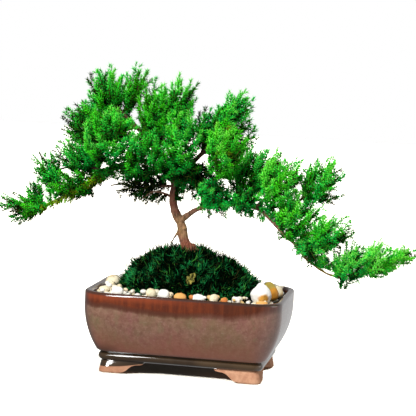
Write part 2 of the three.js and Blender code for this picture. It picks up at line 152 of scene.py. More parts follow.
def vertexNormals(piece):
    normals = np.zeros(len(piece.data.vertices) * 3)
    piece.data.vertex_normals.foreach_get("vector", normals)
    return normals.reshape(-1, 3)


def meshFrom(name, points, triangles, attributes=None):
    mesh = bpy.data.meshes.new(name)
    mesh.vertices.add(len(points))
    mesh.vertices.foreach_set("co", points.astype(np.float32).ravel())
    mesh.loops.add(len(triangles) * 3)
    mesh.loops.foreach_set("vertex_index", triangles.astype(np.int32).ravel())
    mesh.polygons.add(len(triangles))
    mesh.polygons.foreach_set("loop_start", np.arange(0, len(triangles) * 3, 3, dtype=np.int32))
    mesh.update(calc_edges=True)
    for key, values in (attributes or {}).items():
        layer = mesh.attributes.new(key, "FLOAT", "POINT")
        layer.data.foreach_set("value", values.astype(np.float32))
    return added(name, mesh)


# Copies of one small shape, each with its own place, turn and size, in one mesh. Values go with each copy,
# own values with each point of the shape.
def copiesOf(shape, places, turns, values, ownValues=None):
    points, triangles = shape
    count = len(places)
    spread = np.einsum("nij,vj->nvi", turns, points) + places[:, None, :]
    linked = triangles[None, :, :] + (np.arange(count) * len(points))[:, None, None]
    perPoint = {key: np.repeat(value, len(points)) for key, value in values.items()}
    perPoint.update({key: np.tile(value, count) for key, value in (ownValues or {}).items()})
    return spread.reshape(-1, 3), linked.reshape(-1, 3), perPoint


def joined(groups):  # several sets of copies become one set
    points, triangles, values, start = [], [], {}, 0
    for somePoints, someTriangles, someValues in groups:
        points.append(somePoints)
        triangles.append(someTriangles + start)
        start += len(somePoints)
        for key, value in someValues.items():
            values.setdefault(key, []).append(value)
    joinedValues = {key: np.concatenate(value) for key, value in values.items()}
    return np.vstack(points), np.vstack(triangles), joinedValues


def takeShape(piece):  # its points and triangles, to copy many times; the piece itself goes
    shape = meshArrays(piece)
    bpy.data.objects.remove(piece)
    return shape


def unit(v):
    return v / np.maximum(np.linalg.norm(v, axis=-1, keepdims=True), 1e-12)


def cornersOf(points, triangles):  # three corners, size and way out of each triangle
    a, b, c = (points[triangles[:, k]] for k in range(3))
    cross = np.cross(b - a, c - a)
    return (a, b, c), np.linalg.norm(cross, axis=1) / 2, unit(cross)


def scatter(rng, corners, weights, count):  # random places on the triangles, and which triangle each is on
    a, b, c = corners
    picks = rng.choice(len(a), count, p=weights / weights.sum())
    r1, r2 = np.sqrt(rng.random((count, 1))), rng.random((count, 1))
    return a[picks] * (1 - r1) + b[picks] * (r1 * (1 - r2)) + c[picks] * (r1 * r2), picks


def spreadSpots(rng, points, triangles, spacing):  # places over a surface, none too close to another
    corners, area, facing = cornersOf(points, triangles)
    tries = int(area.sum() / spacing ** 2 * 7)
    spots, picks = scatter(rng, corners, area, tries)
    outward = facing[picks]
    kept = []
    for i in range(tries):
        if not kept or np.min(np.sum((spots[kept] - spots[i]) ** 2, axis=1)) > spacing ** 2:
            kept.append(i)
    return spots[kept], outward[kept]


# Turning matrices whose third axis is the given direction, spun about it and scaled.
def turnsAlong(directions, spins, sizes):
    w = unit(directions)
    helper = np.where(np.abs(w[:, 2:3]) > 0.9, np.array([[1.0, 0, 0]]), np.array([[0, 0, 1.0]]))
    u = unit(np.cross(helper, w))
    v = np.cross(w, u)
    c, s = np.cos(spins)[:, None], np.sin(spins)[:, None]
    turns = np.stack([u * c + v * s, v * c - u * s, w], axis=2)
    sizes = np.asarray(sizes)
    return turns * (sizes[:, None, None] if sizes.ndim == 1 else sizes[:, None, :])


def rgb(*shades):  # a colour as seen on screen, made linear
    linear = [s / 255 / 12.92 if s <= 10 else ((s / 255 + 0.055) / 1.055) ** 2.4 for s in shades]
    return (*linear, 1.0)


class Value:  # a socket that takes part in sums
    def __init__(self, look, socket):
        self.look = look
        self.socket = socket

    def sum(self, operation, *terms):
        return self.look.add("ShaderNodeMath", {"operation": operation}, dict(enumerate(terms)))

    def __add__(self, other):
        return self.sum("ADD", self, other)

    __radd__ = __add__

    def __sub__(self, other):
        return self.sum("SUBTRACT", self, other)

    def __rsub__(self, other):
        return self.sum("SUBTRACT", other, self)

    def __mul__(self, other):
        return self.sum("MULTIPLY", self, other)

    __rmul__ = __mul__

    def __truediv__(self, other):
        return self.sum("DIVIDE", self, other)

    def clamped(self):
        return self.look.add("ShaderNodeClamp", {}, {0: self})

    def ramp(self, low, high):  # 0 below low, 1 above high, smooth between
        return self.look.add(
            "ShaderNodeMapRange",
            {"interpolation_type": "SMOOTHSTEP", "clamp": True},
            {"Value": self, "From Min": low, "From Max": high},
        )


class Look:  # one material and its nodes
    def __init__(self, name):
        self.material = bpy.data.materials.new(name)
        self.material.use_nodes = True
        self.tree = self.material.node_tree
        self.tree.nodes.clear()

    def add(self, kind, settings=None, inputs=None, output=0):
        node = self.tree.nodes.new(kind)
        for key, value in (settings or {}).items():
            setattr(node, key, value)
        for key, value in (inputs or {}).items():
            if isinstance(value, Value):
                self.tree.links.new(value.socket, node.inputs[key])
            else:
                node.inputs[key].default_value = value
        return Value(self, node.outputs[output])

    def place(self):
        return self.add("ShaderNodeTexCoord", output="Object")

    def along(self, axis):  # in mm from the middle of the pot's base
        place = self.add("ShaderNodeSeparateXYZ", {}, {0: self.place()}, axis)
        return (place - potMiddle["XYZ".index(axis)]) / mm

    def stretched(self, scale):
        return self.add("ShaderNodeMapping", {}, {"Vector": self.place(), "Scale": scale})

    def distance(self, spot):  # how far the surface is from a place
        ends = {0: self.place(), 1: tuple(spot)}
        return self.add("ShaderNodeVectorMath", {"operation": "DISTANCE"}, ends, "Value")

    def attribute(self, name):
        return self.add("ShaderNodeAttribute", {"attribute_name": name}, {}, "Fac")

    def noise(self, scale, detail=4, roughness=0.55, distortion=0, at=None):
        sockets = {"Vector": at or self.place(), "Scale": scale, "Detail": detail, "Roughness": roughness}
        return self.add("ShaderNodeTexNoise", {}, {**sockets, "Distortion": distortion})

    def mix(self, share, first, second):
        return self.add("ShaderNodeMix", {"data_type": "RGBA"}, {0: share, 6: first, 7: second}, 2)

    def bump(self, height, strength, distance):
        return self.add("ShaderNodeBump", {}, {"Height": height, "Strength": strength, "Distance": distance})

    def surface(self, **sockets):
        names = {key.replace("_", " "): value for key, value in sockets.items()}
        shader = self.add("ShaderNodeBsdfPrincipled", {}, names, "BSDF")
        output = self.tree.nodes.new("ShaderNodeOutputMaterial")
        self.tree.links.new(shader.socket, output.inputs["Surface"])
        return self


# angles in degrees, distance and aim in metres from the middle of the pot's base, lens in mm
cameraAt = dict(azimuth=9.763, elevation=5.9, roll=2.781, distance=1.7023,
                aim=(0.01268, 0, 0.16503), lens=146.35)


def placeCamera(settings):
    azimuth, elevation, roll = (math.radians(settings[key]) for key in ("azimuth", "elevation", "roll"))
    flat = math.cos(elevation)
    back = Vector((math.sin(azimuth) * flat, -math.cos(azimuth) * flat, math.sin(elevation)))
    right = Vector((0, 0, 1)).cross(back).normalized()
    up = back.cross(right)
    tiltedRight = math.cos(roll) * right + math.sin(roll) * up
    tiltedUp = back.cross(tiltedRight)
    data = bpy.data.cameras.new("camera")
    data.sensor_width = 36
    data.lens = settings["lens"]
    data.clip_end = 20
    camera = added("camera", data)
    turn = Matrix((tiltedRight, tiltedUp, back)).transposed().to_4x4()
    place = potMiddle + Vector(settings["aim"]) + back * settings["distance"]
    camera.matrix_world = Matrix.Translation(place) @ turn
    bpy.context.scene.camera = camera


placeCamera(cameraAt)

# places and sizes in metres, spread in degrees; the upright lamp is the window that the glaze mirrors
lamps = {
    "skyLamp": dict(kind="SUN", place=(-0.5, -1.7, 2.0), strength=3.2, spread=20, mirrored=False),
    "windowLamp": dict(kind="AREA", place=(-0.52, -1.5, 0.85), size=(0.085, 1.3), strength=11.5,
                       upright=True),
    "sideLamp": dict(kind="AREA", place=(1.6, 0.1, 0.45), size=(0.9, 0.9), strength=3.2,
                     tint=(1, 0.91, 0.85)),
    "floorLampFront": dict(kind="SUN", place=(-1.3, -1.6, 1.5), strength=21, spread=11),
    "floorLampBack": dict(kind="SUN", place=(1.3, 1.2, 1.5), strength=21, spread=11),
}
for name, lamp in lamps.items():
    data = bpy.data.lights.new(name, lamp["kind"])
    data.energy = lamp["strength"]
    data.color = lamp.get("tint", (1, 1, 1))
    if lamp["kind"] == "SUN":
        data.angle = math.radians(lamp["spread"])
    else:
        data.shape = "RECTANGLE"
        data.size, data.size_y = lamp["size"]
    light = added(name, data)
    light.visible_glossy = lamp.get("mirrored", True)
    light.location = lamp["place"]
    target = Vector((0, 0, light.location.z if lamp.get("upright") else 0.1))
    light.rotation_euler = (target - light.location).to_track_quat("-Z", "Y").to_euler()

# Light from all round is the fill. Glossy pieces mirror a dim room that grows brighter towards the right and
# the back, and the camera sees plain white.
room = dict(fill=0.34, front=0.2, back=0.7, toward=(0.85, 0.5, -0.3), dimUpTo=-0.1, brightFrom=0.75)
world = bpy.data.worlds.new("studio")
bpy.context.scene.world = world
world.use_nodes = True
worldTree = world.node_tree


def worldNode(kind, values, *links):
    node = worldTree.nodes.new(kind)
    for key, value in values.items():
        node.inputs[key].default_value = value
    for source, target in links:
        worldTree.links.new(source, node.inputs[target])
    return node


around = worldNode("ShaderNodeTexCoord", {})
facing = worldNode("ShaderNodeVectorMath", {1: room["toward"]}, (around.outputs["Generated"], 0))
facing.operation = "DOT_PRODUCT"
shading = {"From Min": room["dimUpTo"], "From Max": room["brightFrom"], "To Min": room["front"],
           "To Max": room["back"]}
lit = worldNode("ShaderNodeMapRange", shading, (facing.outputs["Value"], "Value"))
ray = worldNode("ShaderNodeLightPath", {})
mirrored = worldNode("ShaderNodeMapRange", {"To Min": room["fill"]}, (ray.outputs["Is Glossy Ray"], "Value"),
                     (lit.outputs["Result"], "To Max"))
level = worldNode("ShaderNodeMapRange", {"To Max": 1.0}, (ray.outputs["Is Camera Ray"], "Value"),
                  (mirrored.outputs["Result"], "To Min"))
worldTree.links.new(level.outputs["Result"], worldTree.nodes["Background"].inputs["Strength"])
worldTree.nodes["Background"].inputs["Color"].default_value = (1, 1, 1, 1)
bpy.context.scene.view_settings.view_transform = "Standard"

deselectAll()
bpy.ops.mesh.primitive_plane_add(size=8, location=(0, 0, -0.0002))
ground = takeNew("ground")
settle(ground)
groundLook = Look("pale ground").surface(Base_Color=(0.3, 0.285, 0.25, 1), Roughness=0.9)
ground.data.materials.append(groundLook.material)
ground.visible_diffuse = False
ground.visible_glossy = False
print("camera, lamps and ground done")


# The walls curl under from curlTop down to curlFoot. The lists hold heights, or insets from the widest
# outline with their heights, in mm.
potShape = dict(
    halfX=100 * mm, halfY=72 * mm, corner=28 * mm, cornerCuts=9, wall=6.5 * mm, setback=0.8 * mm, top=78 * mm,
    curlUnder=14 * mm, curlTop=68 * mm, curlFoot=22 * mm, floor=21 * mm, floorCurve=3 * mm,
    drainRadius=8 * mm, drainApart=76 * mm,
    outside=(72, 66, 60, 54, 48, 43, 38, 34, 30, 27, 24.4, 22.6), inside=(68, 58, 48, 38, 30, 23),
    moulding=((16.4, 21.4), (18, 20.9), (18.7, 20.3), (18.2, 19.6), (17.4, 18.8), (17, 17.6), (17, 16.2),
              (17.3, 14.9), (18, 13.8), (19, 13), (20.4, 12.5)),
    rim=((0.8, 79.6), (1.0, 80.6), (1.5, 81.4), (2.3, 81.9), (3.3, 82), (4.5, 82), (5.5, 81.8), (6.3, 81.2),
         (6.9, 80.2), (7.2, 79), (7.3, 76)),
)


def wallInset(z):
    down = max(0, (potShape["curlTop"] - z) / (potShape["curlTop"] - potShape["curlFoot"]))
    return potShape["setback"] + potShape["curlUnder"] * down ** 2.1


def roundedPlate(name, inset, z):  # a flat plate with the pot's rounded corners
    deselectAll()
    halfX, halfY = potShape["halfX"] - inset, potShape["halfY"] - inset
    bpy.ops.mesh.primitive_plane_add(size=2, location=(potX, potY, z))
    plate = takeNew(name)
    plate.scale = (halfX, halfY, 1)
    settle(plate)
    bpy.ops.object.mode_set(mode="EDIT")
    bpy.ops.mesh.select_all(action="SELECT")
    radius = potShape["corner"] - inset
    bpy.ops.mesh.bevel(offset=radius, segments=potShape["cornerCuts"], affect="VERTICES")
    return plate


def stepTo(inset, z, now, openRing=False):  # the selected face, or open ring of edges, moves on
    wasInset, wasZ = now
    middle = (potX, potY, z)
    if inset > wasInset + 1e-6 and not openRing:
        bpy.ops.mesh.inset(thickness=inset - wasInset, depth=z - wasZ)
    else:
        bpy.ops.mesh.extrude_region_move(TRANSFORM_OT_translate={"value": (0, 0, z - wasZ)})
        growX = (potShape["halfX"] - inset) / (potShape["halfX"] - wasInset)
        growY = (potShape["halfY"] - inset) / (potShape["halfY"] - wasInset)
        bpy.ops.transform.resize(value=(growX, growY, 1), center_override=middle)
    return inset, z


def selectFaces(piece, wanted):
    bpy.ops.mesh.select_all(action="DESELECT")
    bpy.ops.object.mode_set(mode="OBJECT")
    for face in piece.data.polygons:
        face.select = wanted(face)
    bpy.ops.object.mode_set(mode="EDIT")
    bpy.ops.mesh.select_mode(type="FACE")


def selectOpenRing():
    bpy.ops.mesh.select_mode(type="EDGE")
    bpy.ops.mesh.select_all(action="DESELECT")
    bpy.ops.mesh.select_non_manifold(extend=False, use_wire=False, use_boundary=True, use_multi_face=False,
                                     use_non_contiguous=False, use_verts=False)


def makePotBody():
    shape = potShape
    top = shape["top"]
    body = roundedPlate("pot", shape["setback"], top)
    bpy.ops.mesh.select_all(action="SELECT")
    now = (shape["setback"], top)
    for z in shape["outside"]:
        now = stepTo(wallInset(z * mm), z * mm, now)
    for inset, z in shape["moulding"]:
        now = stepTo(inset * mm, z * mm, now)
    # the plate that it started from goes, and its ring goes on over the rim and down inside
    selectFaces(body, lambda face: abs(face.center.z - top) < 1e-5)
    bpy.ops.mesh.delete(type="ONLY_FACE")
    selectOpenRing()
    now = (shape["setback"], top)
    for inset, z in shape["rim"]:
        now = stepTo(inset * mm, z * mm, now, openRing=True)
    for z in shape["inside"]:
        now = stepTo(wallInset(z * mm) + shape["wall"], z * mm, now, openRing=True)
    now = stepTo(now[0] + shape["floorCurve"], shape["floor"], now, openRing=True)
    bpy.ops.mesh.edge_face_add()
    bpy.ops.mesh.select_mode(type="VERT")
    turnOutward()
    return body


# The feet are what is left of a flared ring. Its steps and the gap's edge are in mm, the gap's edge as how
# far it draws in from the half width and its height.
feetShape = dict(
    inset=20.8 * mm, top=13.2 * mm, steps=((20, 11), (19.4, 8), (18.9, 5), (18.3, 2), (18.2, 0.8), (18.6, 0)),
    hollowInset=30.4 * mm, hollowTop=12.4 * mm, hollowRound=3 * mm, edgeRound=0.7 * mm,
    frontGap=60, sideGap=38, cutDepth=0.15,
    gapEdge=((0, -2), (0, 0.6), (4, 1.4), (7, 3.2), (9.5, 5.6), (12.5, 7.9), (16.5, 9.2), (20.5, 9.6),
             (23.5, 10.3), (25, 12.5)),
)


def gapCutter(halfWidth, depth, alongX):  # the outline of the gap between two feet, given a depth
    half = [(halfWidth - drawnIn, z) for drawnIn, z in feetShape["gapEdge"]]
    outline = half + [(-x, z) for x, z in reversed(half)]
    curve = bpy.data.curves.new("gap", "CURVE")
    curve.dimensions = "2D"
    curve.fill_mode = "BOTH"
    curve.extrude = depth
    line = curve.splines.new("POLY")
    line.points.add(len(outline) - 1)
    for point, (x, z) in zip(line.points, outline):
        point.co = (x * mm, z * mm, 0, 1)
    line.use_cyclic_u = True
    cutter = added("gap", curve)
    cutter.rotation_euler = (math.radians(90), 0, math.radians(90) if alongX else 0)
    cutter.location = potMiddle
    workOn(cutter)
    bpy.ops.object.convert(target="MESH")
    settle(cutter)
    bpy.ops.object.mode_set(mode="EDIT")
    bpy.ops.mesh.select_all(action="SELECT")
    bpy.ops.mesh.remove_doubles(threshold=1e-6)
    turnOutward()
    return cutter


def makeFeet():
    shape = feetShape
    feet = roundedPlate("feet", shape["inset"], shape["top"])
    bpy.ops.mesh.select_all(action="SELECT")
    now = (shape["inset"], shape["top"])
    for inset, z in shape["steps"]:
        now = stepTo(inset * mm, z * mm, now)
    selectOpenRing()
    bpy.ops.mesh.edge_face_add()
    turnOutward()
    deselectAll()
    bpy.ops.mesh.primitive_cube_add(size=2, location=(potX, potY, 0))
    core = takeNew("core")
    hollow = shape["hollowInset"]
    core.scale = (potShape["halfX"] - hollow, potShape["halfY"] - hollow, shape["hollowTop"])
    settle(core)
    bpy.ops.object.mode_set(mode="EDIT")
    bpy.ops.mesh.select_all(action="SELECT")
    bpy.ops.mesh.bevel(offset=shape["hollowRound"], segments=4)
    bpy.ops.object.mode_set(mode="OBJECT")
    cutWith(feet, core)
    cutWith(feet, gapCutter(shape["frontGap"], shape["cutDepth"], False))
    cutWith(feet, gapCutter(shape["sideGap"], shape["cutDepth"], True))
    applyModifier(feet, "BEVEL", width=shape["edgeRound"], segments=2, limit_method="ANGLE",
                  angle_limit=math.radians(35))
    return feet


def makePot():
    body = makePotBody()
    for side in (-1, 1):
        deselectAll()
        at = (potX + side * potShape["drainApart"] / 2, potY, potShape["floor"] - 4 * mm)
        radius = potShape["drainRadius"]
        bpy.ops.mesh.primitive_cylinder_add(vertices=32, radius=radius, depth=24 * mm, location=at)
        cutter = takeNew("drain")
        settle(cutter)
        cutWith(body, cutter)
    feet = makeFeet()
    workOn(body)
    feet.select_set(True)
    bpy.ops.object.join()
    workOn(body)
    bpy.ops.object.shade_smooth_by_angle(angle=math.radians(38))
    return body


# Where the glaze changes, and where painted shade and painted light go on it, in mm from the middle of the
# pot's base. A pair is where a change starts and ends.
glazeShape = dict(
    redderBounceLit=(22, 52), footShadow=(22, 34), shadowedEnd=(-78, -50), bandEdge=61.2, bandLowestAt=-8,
    bandRise=0.000847, bandSoft=7.5, redLipHighlight=(73, 78), leftHalf=(-30, 30), darkerEnd=(10, 60),
    fringeFades=(-20, 70), corner=(-98.5, -89), cornerCurl=13.8, rim=(78.8, 80.6), moulding=(20.8, 22.4),
    runDownEnd=(-75, -20), runDown=6.2, bareBelow=11.8, bareSoft=0.7,
)


def glazeLook():
    shape = glazeShape
    look = Look("brown glaze")
    x, z = look.along("X"), look.along("Z")
    waver = look.noise(24, 3, 0.5) - 0.5
    mottle = look.noise(190, 6, 0.7, 0.3)
    bloom = look.noise(120, 4, 0.6, 0, look.stretched((1, 1, 0.55)))
    speck = look.noise(520, 3, 0.6)
    run = look.noise(1, 4, 0.6, 0.2, look.stretched((230, 230, 24)))
    cloud = look.noise(16, 3, 0.5, 0.4, look.stretched((1, 1, 1.6)))
    body = look.mix(mottle.ramp(0.3, 0.7), rgb(114, 79, 63), rgb(143, 107, 88))
    body = look.mix(cloud.ramp(0.46, 0.6) * 0.35, body, rgb(112, 92, 58))
    body = look.mix(cloud.ramp(0.5, 0.38) * 0.3, body, rgb(126, 74, 66))
    body = look.mix(bloom.ramp(0.52, 0.66) * 0.4, body, rgb(116, 104, 72))
    body = look.mix(bloom.ramp(0.46, 0.32) * 0.35, body, rgb(134, 82, 80))
    body = look.mix(run.ramp(0.5, 0.75) * 0.3, body, rgb(98, 65, 47))
    body = look.mix(speck.ramp(0.55, 0.7) * 0.25, body, rgb(166, 137, 122))
    # redder glaze and painted floor bounce light towards the moulding; painted shade low down on the left
    low = 1 - (z + waver * 20).ramp(*shape["redderBounceLit"])
    body = look.mix(low * 0.6, body, rgb(152, 84, 66))
    shadowed = (1 - z.ramp(*shape["footShadow"])) * (1 - (x + waver * 50).ramp(*shape["shadowedEnd"]))
    body = look.mix(shadowed * 0.8, body, rgb(78, 44, 26))
    # the redder band under the rim hangs lowest left of the middle and ends in a soft dark edge
    fromLowest = x - shape["bandLowestAt"]
    edge = fromLowest * fromLowest * shape["bandRise"] + waver * 8 + (run - 0.5) * 5 + shape["bandEdge"]
    band = ((z - edge) / shape["bandSoft"]).clamped()
    red = look.mix(run.ramp(0.35, 0.7), rgb(86, 32, 9), rgb(116, 48, 14))
    red = look.mix(speck.ramp(0.55, 0.72) * 0.4, red, rgb(140, 70, 32))
    # painted highlight: the band's lip is brighter orange on the left half, partly the glaze's own orange
    redLipHighlight = z.ramp(*shape["redLipHighlight"]) * (1 - x.ramp(*shape["leftHalf"]))
    red = look.mix(redLipHighlight * 0.5, red, rgb(150, 66, 32))
    red = look.mix(x.ramp(*shape["darkerEnd"]) * 0.45, red, rgb(62, 30, 10))
    colour = look.mix(band.ramp(0, 1), body, red)
    fringe = (band * (1 - band) * 4).clamped() * (0.75 - x.ramp(*shape["fringeFades"]) * 0.45)
    colour = look.mix(fringe, colour, rgb(72, 28, 10))
    # the left corner, which draws in as the wall curls under, the rim and the moulding are dark
    curl = ((potShape["curlTop"] / mm - z) / ((potShape["curlTop"] - potShape["curlFoot"]) / mm)).clamped()
    corner = 1 - (x - curl * curl * shape["cornerCurl"] + waver * 5).ramp(*shape["corner"])
    colour = look.mix(corner * 0.75, colour, rgb(72, 36, 20))
    colour = look.mix(z.ramp(*shape["rim"]) * 0.85, colour, rgb(54, 36, 30))
    dark = look.mix((waver + 0.5).ramp(0.35, 0.65), rgb(46, 32, 18), rgb(76, 58, 38))
    colour = look.mix(1 - z.ramp(*shape["moulding"]), colour, dark)
    # the feet are left bare, the left ones with glaze that has run further down
    leftSide = 1 - x.ramp(*shape["runDownEnd"])
    line = waver * 2 - leftSide * shape["runDown"] + shape["bareBelow"]
    bare = 1 - ((z - line) / shape["bareSoft"]).clamped()
    clay = look.mix(look.noise(150, 5, 0.6).ramp(0.3, 0.7), rgb(206, 158, 126), rgb(178, 126, 98))
    clay = look.mix(look.noise(700, 2, 0.5).ramp(0.6, 0.75) * 0.4, clay, rgb(160, 112, 88))
    clay = look.mix(leftSide * 0.4, clay, rgb(142, 92, 66))
    colour = look.mix(bare, colour, clay)
    fine = look.noise(900, 2, 0.5)
    normal = look.bump(mottle * 0.5 + fine * 0.25, 0.1, 0.0005)
    return look.surface(Base_Color=colour, Roughness=0.36 + bare * 0.45 + (mottle - 0.5) * 0.12,
                        Coat_Weight=1 - bare, Coat_Roughness=0.05, Coat_IOR=1.62, Normal=normal,
                        Specular_IOR_Level=0.12)


pot = makePot()
finishPiece(pot, glazeLook(), "pot", slot="glaze", smooth=False)

# the floor has lamps of its own, which only the pot shades, and takes nothing from the others
floorOnly = bpy.data.collections.new("floorOnly")
floorOnly.objects.link(ground)
potOnly = bpy.data.collections.new("potOnly")
potOnly.objects.link(pot)
allButFloor = bpy.data.collections.new("allButFloor")
allButFloor.objects.link(ground)
allButFloor.collection_objects[0].light_linking.link_state = "EXCLUDE"
for name in lamps:
    linking = bpy.data.objects[name].light_linking
    linking.receiver_collection = floorOnly if name.startswith("floor") else allButFloor
    if name.startswith("floor"):
        linking.blocker_collection = potOnly
print("pot done")


# Each limb follows points in mm, measured from the middle of the pot's base, with its radius at each point.
trunkLine = [
    (4, 0, 66, 13), (0, 0, 98, 11), (-3, 0, 114, 8.6), (-6, 0, 122, 6.8), (-9, 0, 128, 5.4),
    (-12, 0, 137, 4.8), (-14, 0, 147, 4.5), (-18, 0, 155, 4.6), (-22.5, 0, 165, 4), (-23.5, 0, 174, 3.9),
    (-22.5, 0, 184, 4), (-24, 1, 195, 3.9), (-26, 2, 207, 3.2), (-23, 4, 232, 2.2), (-22, 4, 266, 1.2),
]
rightLine = [
    (-15, -1, 151, 3.8), (-8, -3, 156, 3.1), (-2, -5, 161, 2.6), (6, -7, 165, 2.2), (18, -10, 169, 2.2),
    (32, -12, 171, 2.2), (52, -15, 172, 2.1), (66, -17, 169, 2), (80, -19, 159, 1.9), (96, -21, 144, 1.8),
    (104, -21, 138, 1.7), (117, -22, 124, 1.6), (125, -22, 118, 1.4), (133, -22, 113, 1.3),
    (142, -21, 109, 1.2), (155, -20, 108, 1.1), (171, -19, 112, 1), (188, -18, 118, 0.9),
    (203, -17, 126, 0.8), (214, -16, 132, 0.7),
]
leftLine = [
    (-25, 2, 201, 2.9), (-40, -3, 207, 2.7), (-55, -7, 209, 2.6), (-69, -10, 206, 2.5), (-87, -13, 198, 2.4),
    (-97, -15, 193, 2.3), (-108, -17, 184, 2.2), (-124, -20, 174, 2), (-137, -22, 166, 1.7),
    (-147, -24, 160, 1.5), (-155, -25, 155, 1.3), (-165, -26, 152, 1.1), (-176, -27, 155, 0.9),
]
footLines = [  # the stub on the trunk's left, and the roots
    [(-14, -1, 142, 1.6), (-19, -1, 135, 1.1), (-23, -2, 127, 0.8)],
    [(2, 0, 74, 6.5), (22, -6, 62, 4.5), (46, -14, 44, 2)],
    [(-2, 0, 74, 6.5), (-24, -8, 60, 4.5), (-48, -10, 42, 2)],
    [(0, 2, 72, 6), (8, 20, 58, 4), (14, 34, 40, 2)],
    [(0, -2, 72, 6), (-8, -20, 58, 4), (-12, -34, 40, 2)],
]
sideLines = [
    [(8, -8, 167, 1.2), (7, -9, 176, 1), (4, -14, 186, 0.8)],
    [(10, -9, 168, 1.4), (16, -18, 176, 1.1), (22, -24, 186, 0.8)],
    [(36, -13, 171, 1.9), (56, -6, 188, 1.5), (74, 4, 208, 1)],
    [(62, -16, 169, 1.9), (76, -22, 184, 1.4), (88, -24, 202, 1)],
    [(78, -19, 160, 1.8), (104, -12, 178, 1.4), (122, -8, 194, 1.1), (136, -6, 208, 0.8)],
    [(96, -21, 144, 1.6), (118, -24, 148, 1.2), (142, -26, 154, 0.8)],
    [(-23, 0, 188, 2.8), (-8, -4, 206, 2.5), (12, -6, 228, 2), (30, -6, 250, 1.4), (42, -4, 266, 0.9)],
    [(10, -6, 226, 1.7), (24, -22, 230, 1.3), (34, -36, 226, 0.9)],
    [(4, -5, 219, 1.7), (16, 16, 226, 1.3), (28, 36, 228, 0.9)],
    [(-92, -14, 196, 1.6), (-112, -8, 200, 1.3), (-132, -4, 198, 1), (-148, -6, 192, 0.8)],
    [(-25, 2, 204, 2.8), (-46, 0, 226, 2.5), (-66, -2, 244, 2), (-84, -2, 262, 1.5), (-92, -2, 280, 1)],
    [(-64, -2, 242, 1.6), (-78, -22, 238, 1.2), (-90, -38, 234, 0.8)],
    [(-60, -2, 238, 1.6), (-72, 18, 246, 1.2), (-82, 36, 250, 0.8)],
    [(-66, -2, 244, 1.6), (-90, -2, 244, 1.2), (-114, -4, 240, 0.8)],
    [(-54, -1, 233, 1.7), (-62, 2, 258, 1.3), (-66, 4, 284, 0.9)],
    [(-25, 2, 208, 2), (-38, 2, 236, 1.5), (-46, 0, 262, 1)],
    [(-25, 0, 206, 1.9), (-34, -20, 218, 1.4), (-40, -36, 224, 0.9)],
    [(-24, 4, 218, 1.9), (-28, 26, 234, 1.4), (-30, 44, 246, 0.9)],
    [(-23, 4, 226, 1.6), (-16, 0, 240, 1.2), (-12, -4, 256, 0.8)],
    [(-22, 0, 185, 1.5), (-38, 1, 184, 1.3), (-59, 3, 181, 1.1), (-78, 5, 183, 0.9), (-90, 6, 181, 0.7)],
    [(-23, 0, 172, 1.3), (-31, -4, 177, 1.1), (-44, -6, 178, 0.9), (-51, -7, 173, 0.8), (-57, -8, 169, 0.6)],
    [(-23, 0, 190, 1.5), (-41, 4, 194, 1.2), (-61, 8, 196, 1), (-78, 10, 195, 0.7)],
]
knots = [
    (-1, -1.5, 125, 3.6), (-12.5, -2.2, 132, 3.2), (-9.4, -3.6, 143, 1.6), (-16.6, -3.2, 150, 1.5),
    (-21, -2.4, 161, 1.4), (-4, -3.8, 119, 3.6), (3, -2, 120, 4.2),
]
barkShape = dict(grain=0.75 * mm, lumpSize=7, lump=1.2, ridge=0.7, flake=0.3, branches=0.22, seed=3)


def limbFrom(line, name, sides=6):  # a smooth round limb along the points
    curve = bpy.data.curves.new(name, "CURVE")
    curve.dimensions = "3D"
    curve.resolution_u = 6
    curve.bevel_depth = 1 * mm
    curve.bevel_resolution = sides
    curve.use_fill_caps = True
    spline = curve.splines.new("BEZIER")
    spline.bezier_points.add(len(line) - 1)
    for point, (x, y, z, radius) in zip(spline.bezier_points, line):
        point.co = potMiddle + Vector((x, y, z)) * mm
        point.radius = radius
        point.handle_left_type = "AUTO"
        point.handle_right_type = "AUTO"
    workOn(added(name, curve))
    bpy.ops.object.convert(target="MESH")
    return bpy.context.object


def joinAll(pieces):
    workOn(pieces[0])
    for piece in pieces[1:]:
        piece.select_set(True)
    bpy.ops.object.join()
    return pieces[0]


def roughBark(piece):  # lumps, long ridges and small flakes pushed out of the surface
    shape = barkShape
    points, _ = meshArrays(piece)
    push = np.zeros(len(points))
    for i, p in enumerate(points):
        v = Vector(p) / mm
        lump = noise.noise(v / shape["lumpSize"] + Vector((shape["seed"], 0, 0)))
        ridge = noise.noise(Vector((v.x / 1.5, v.y / 1.5, v.z / 6)) + Vector((0, shape["seed"], 0)))
        flake = noise.noise(v / 1.1)
        thick = min(1.0, max(0.0, (v.z - 60) / 60)) * max(0.25, min(1, (215 - v.z) / 60))
        away = abs(v.x - potX / mm + 18) / 30  # the trunk is rougher than the branches
        amount = max(shape["branches"], 1 - away) * thick
        push[i] = (lump * shape["lump"] + ridge * shape["ridge"] + flake * shape["flake"]) * amount * mm
    points = points + vertexNormals(piece) * push[:, None]
    piece.data.vertices.foreach_set("co", points.ravel())
    piece.data.update()


def makeWood():
    stout = [limbFrom(line, "limb") for line in [trunkLine, rightLine, leftLine] + footLines]
    for x, y, z, radius in knots:
        deselectAll()
        at = potMiddle + Vector((x, y, z)) * mm
        bpy.ops.mesh.primitive_ico_sphere_add(subdivisions=3, radius=radius * mm, location=at)
        knot = takeNew("knot")
        settle(knot)
        stout.append(knot)
    wood = joinAll(stout)
    applyModifier(wood, "REMESH", mode="VOXEL", voxel_size=barkShape["grain"], adaptivity=0)
    applyModifier(wood, "SMOOTH", factor=0.5, iterations=3)
    roughBark(wood)
    twigs = [limbFrom(line, "twig", 2) for line in sideLines]
    wood = joinAll([wood] + twigs)
    wood.name = "trunkAndBranches"
    return wood


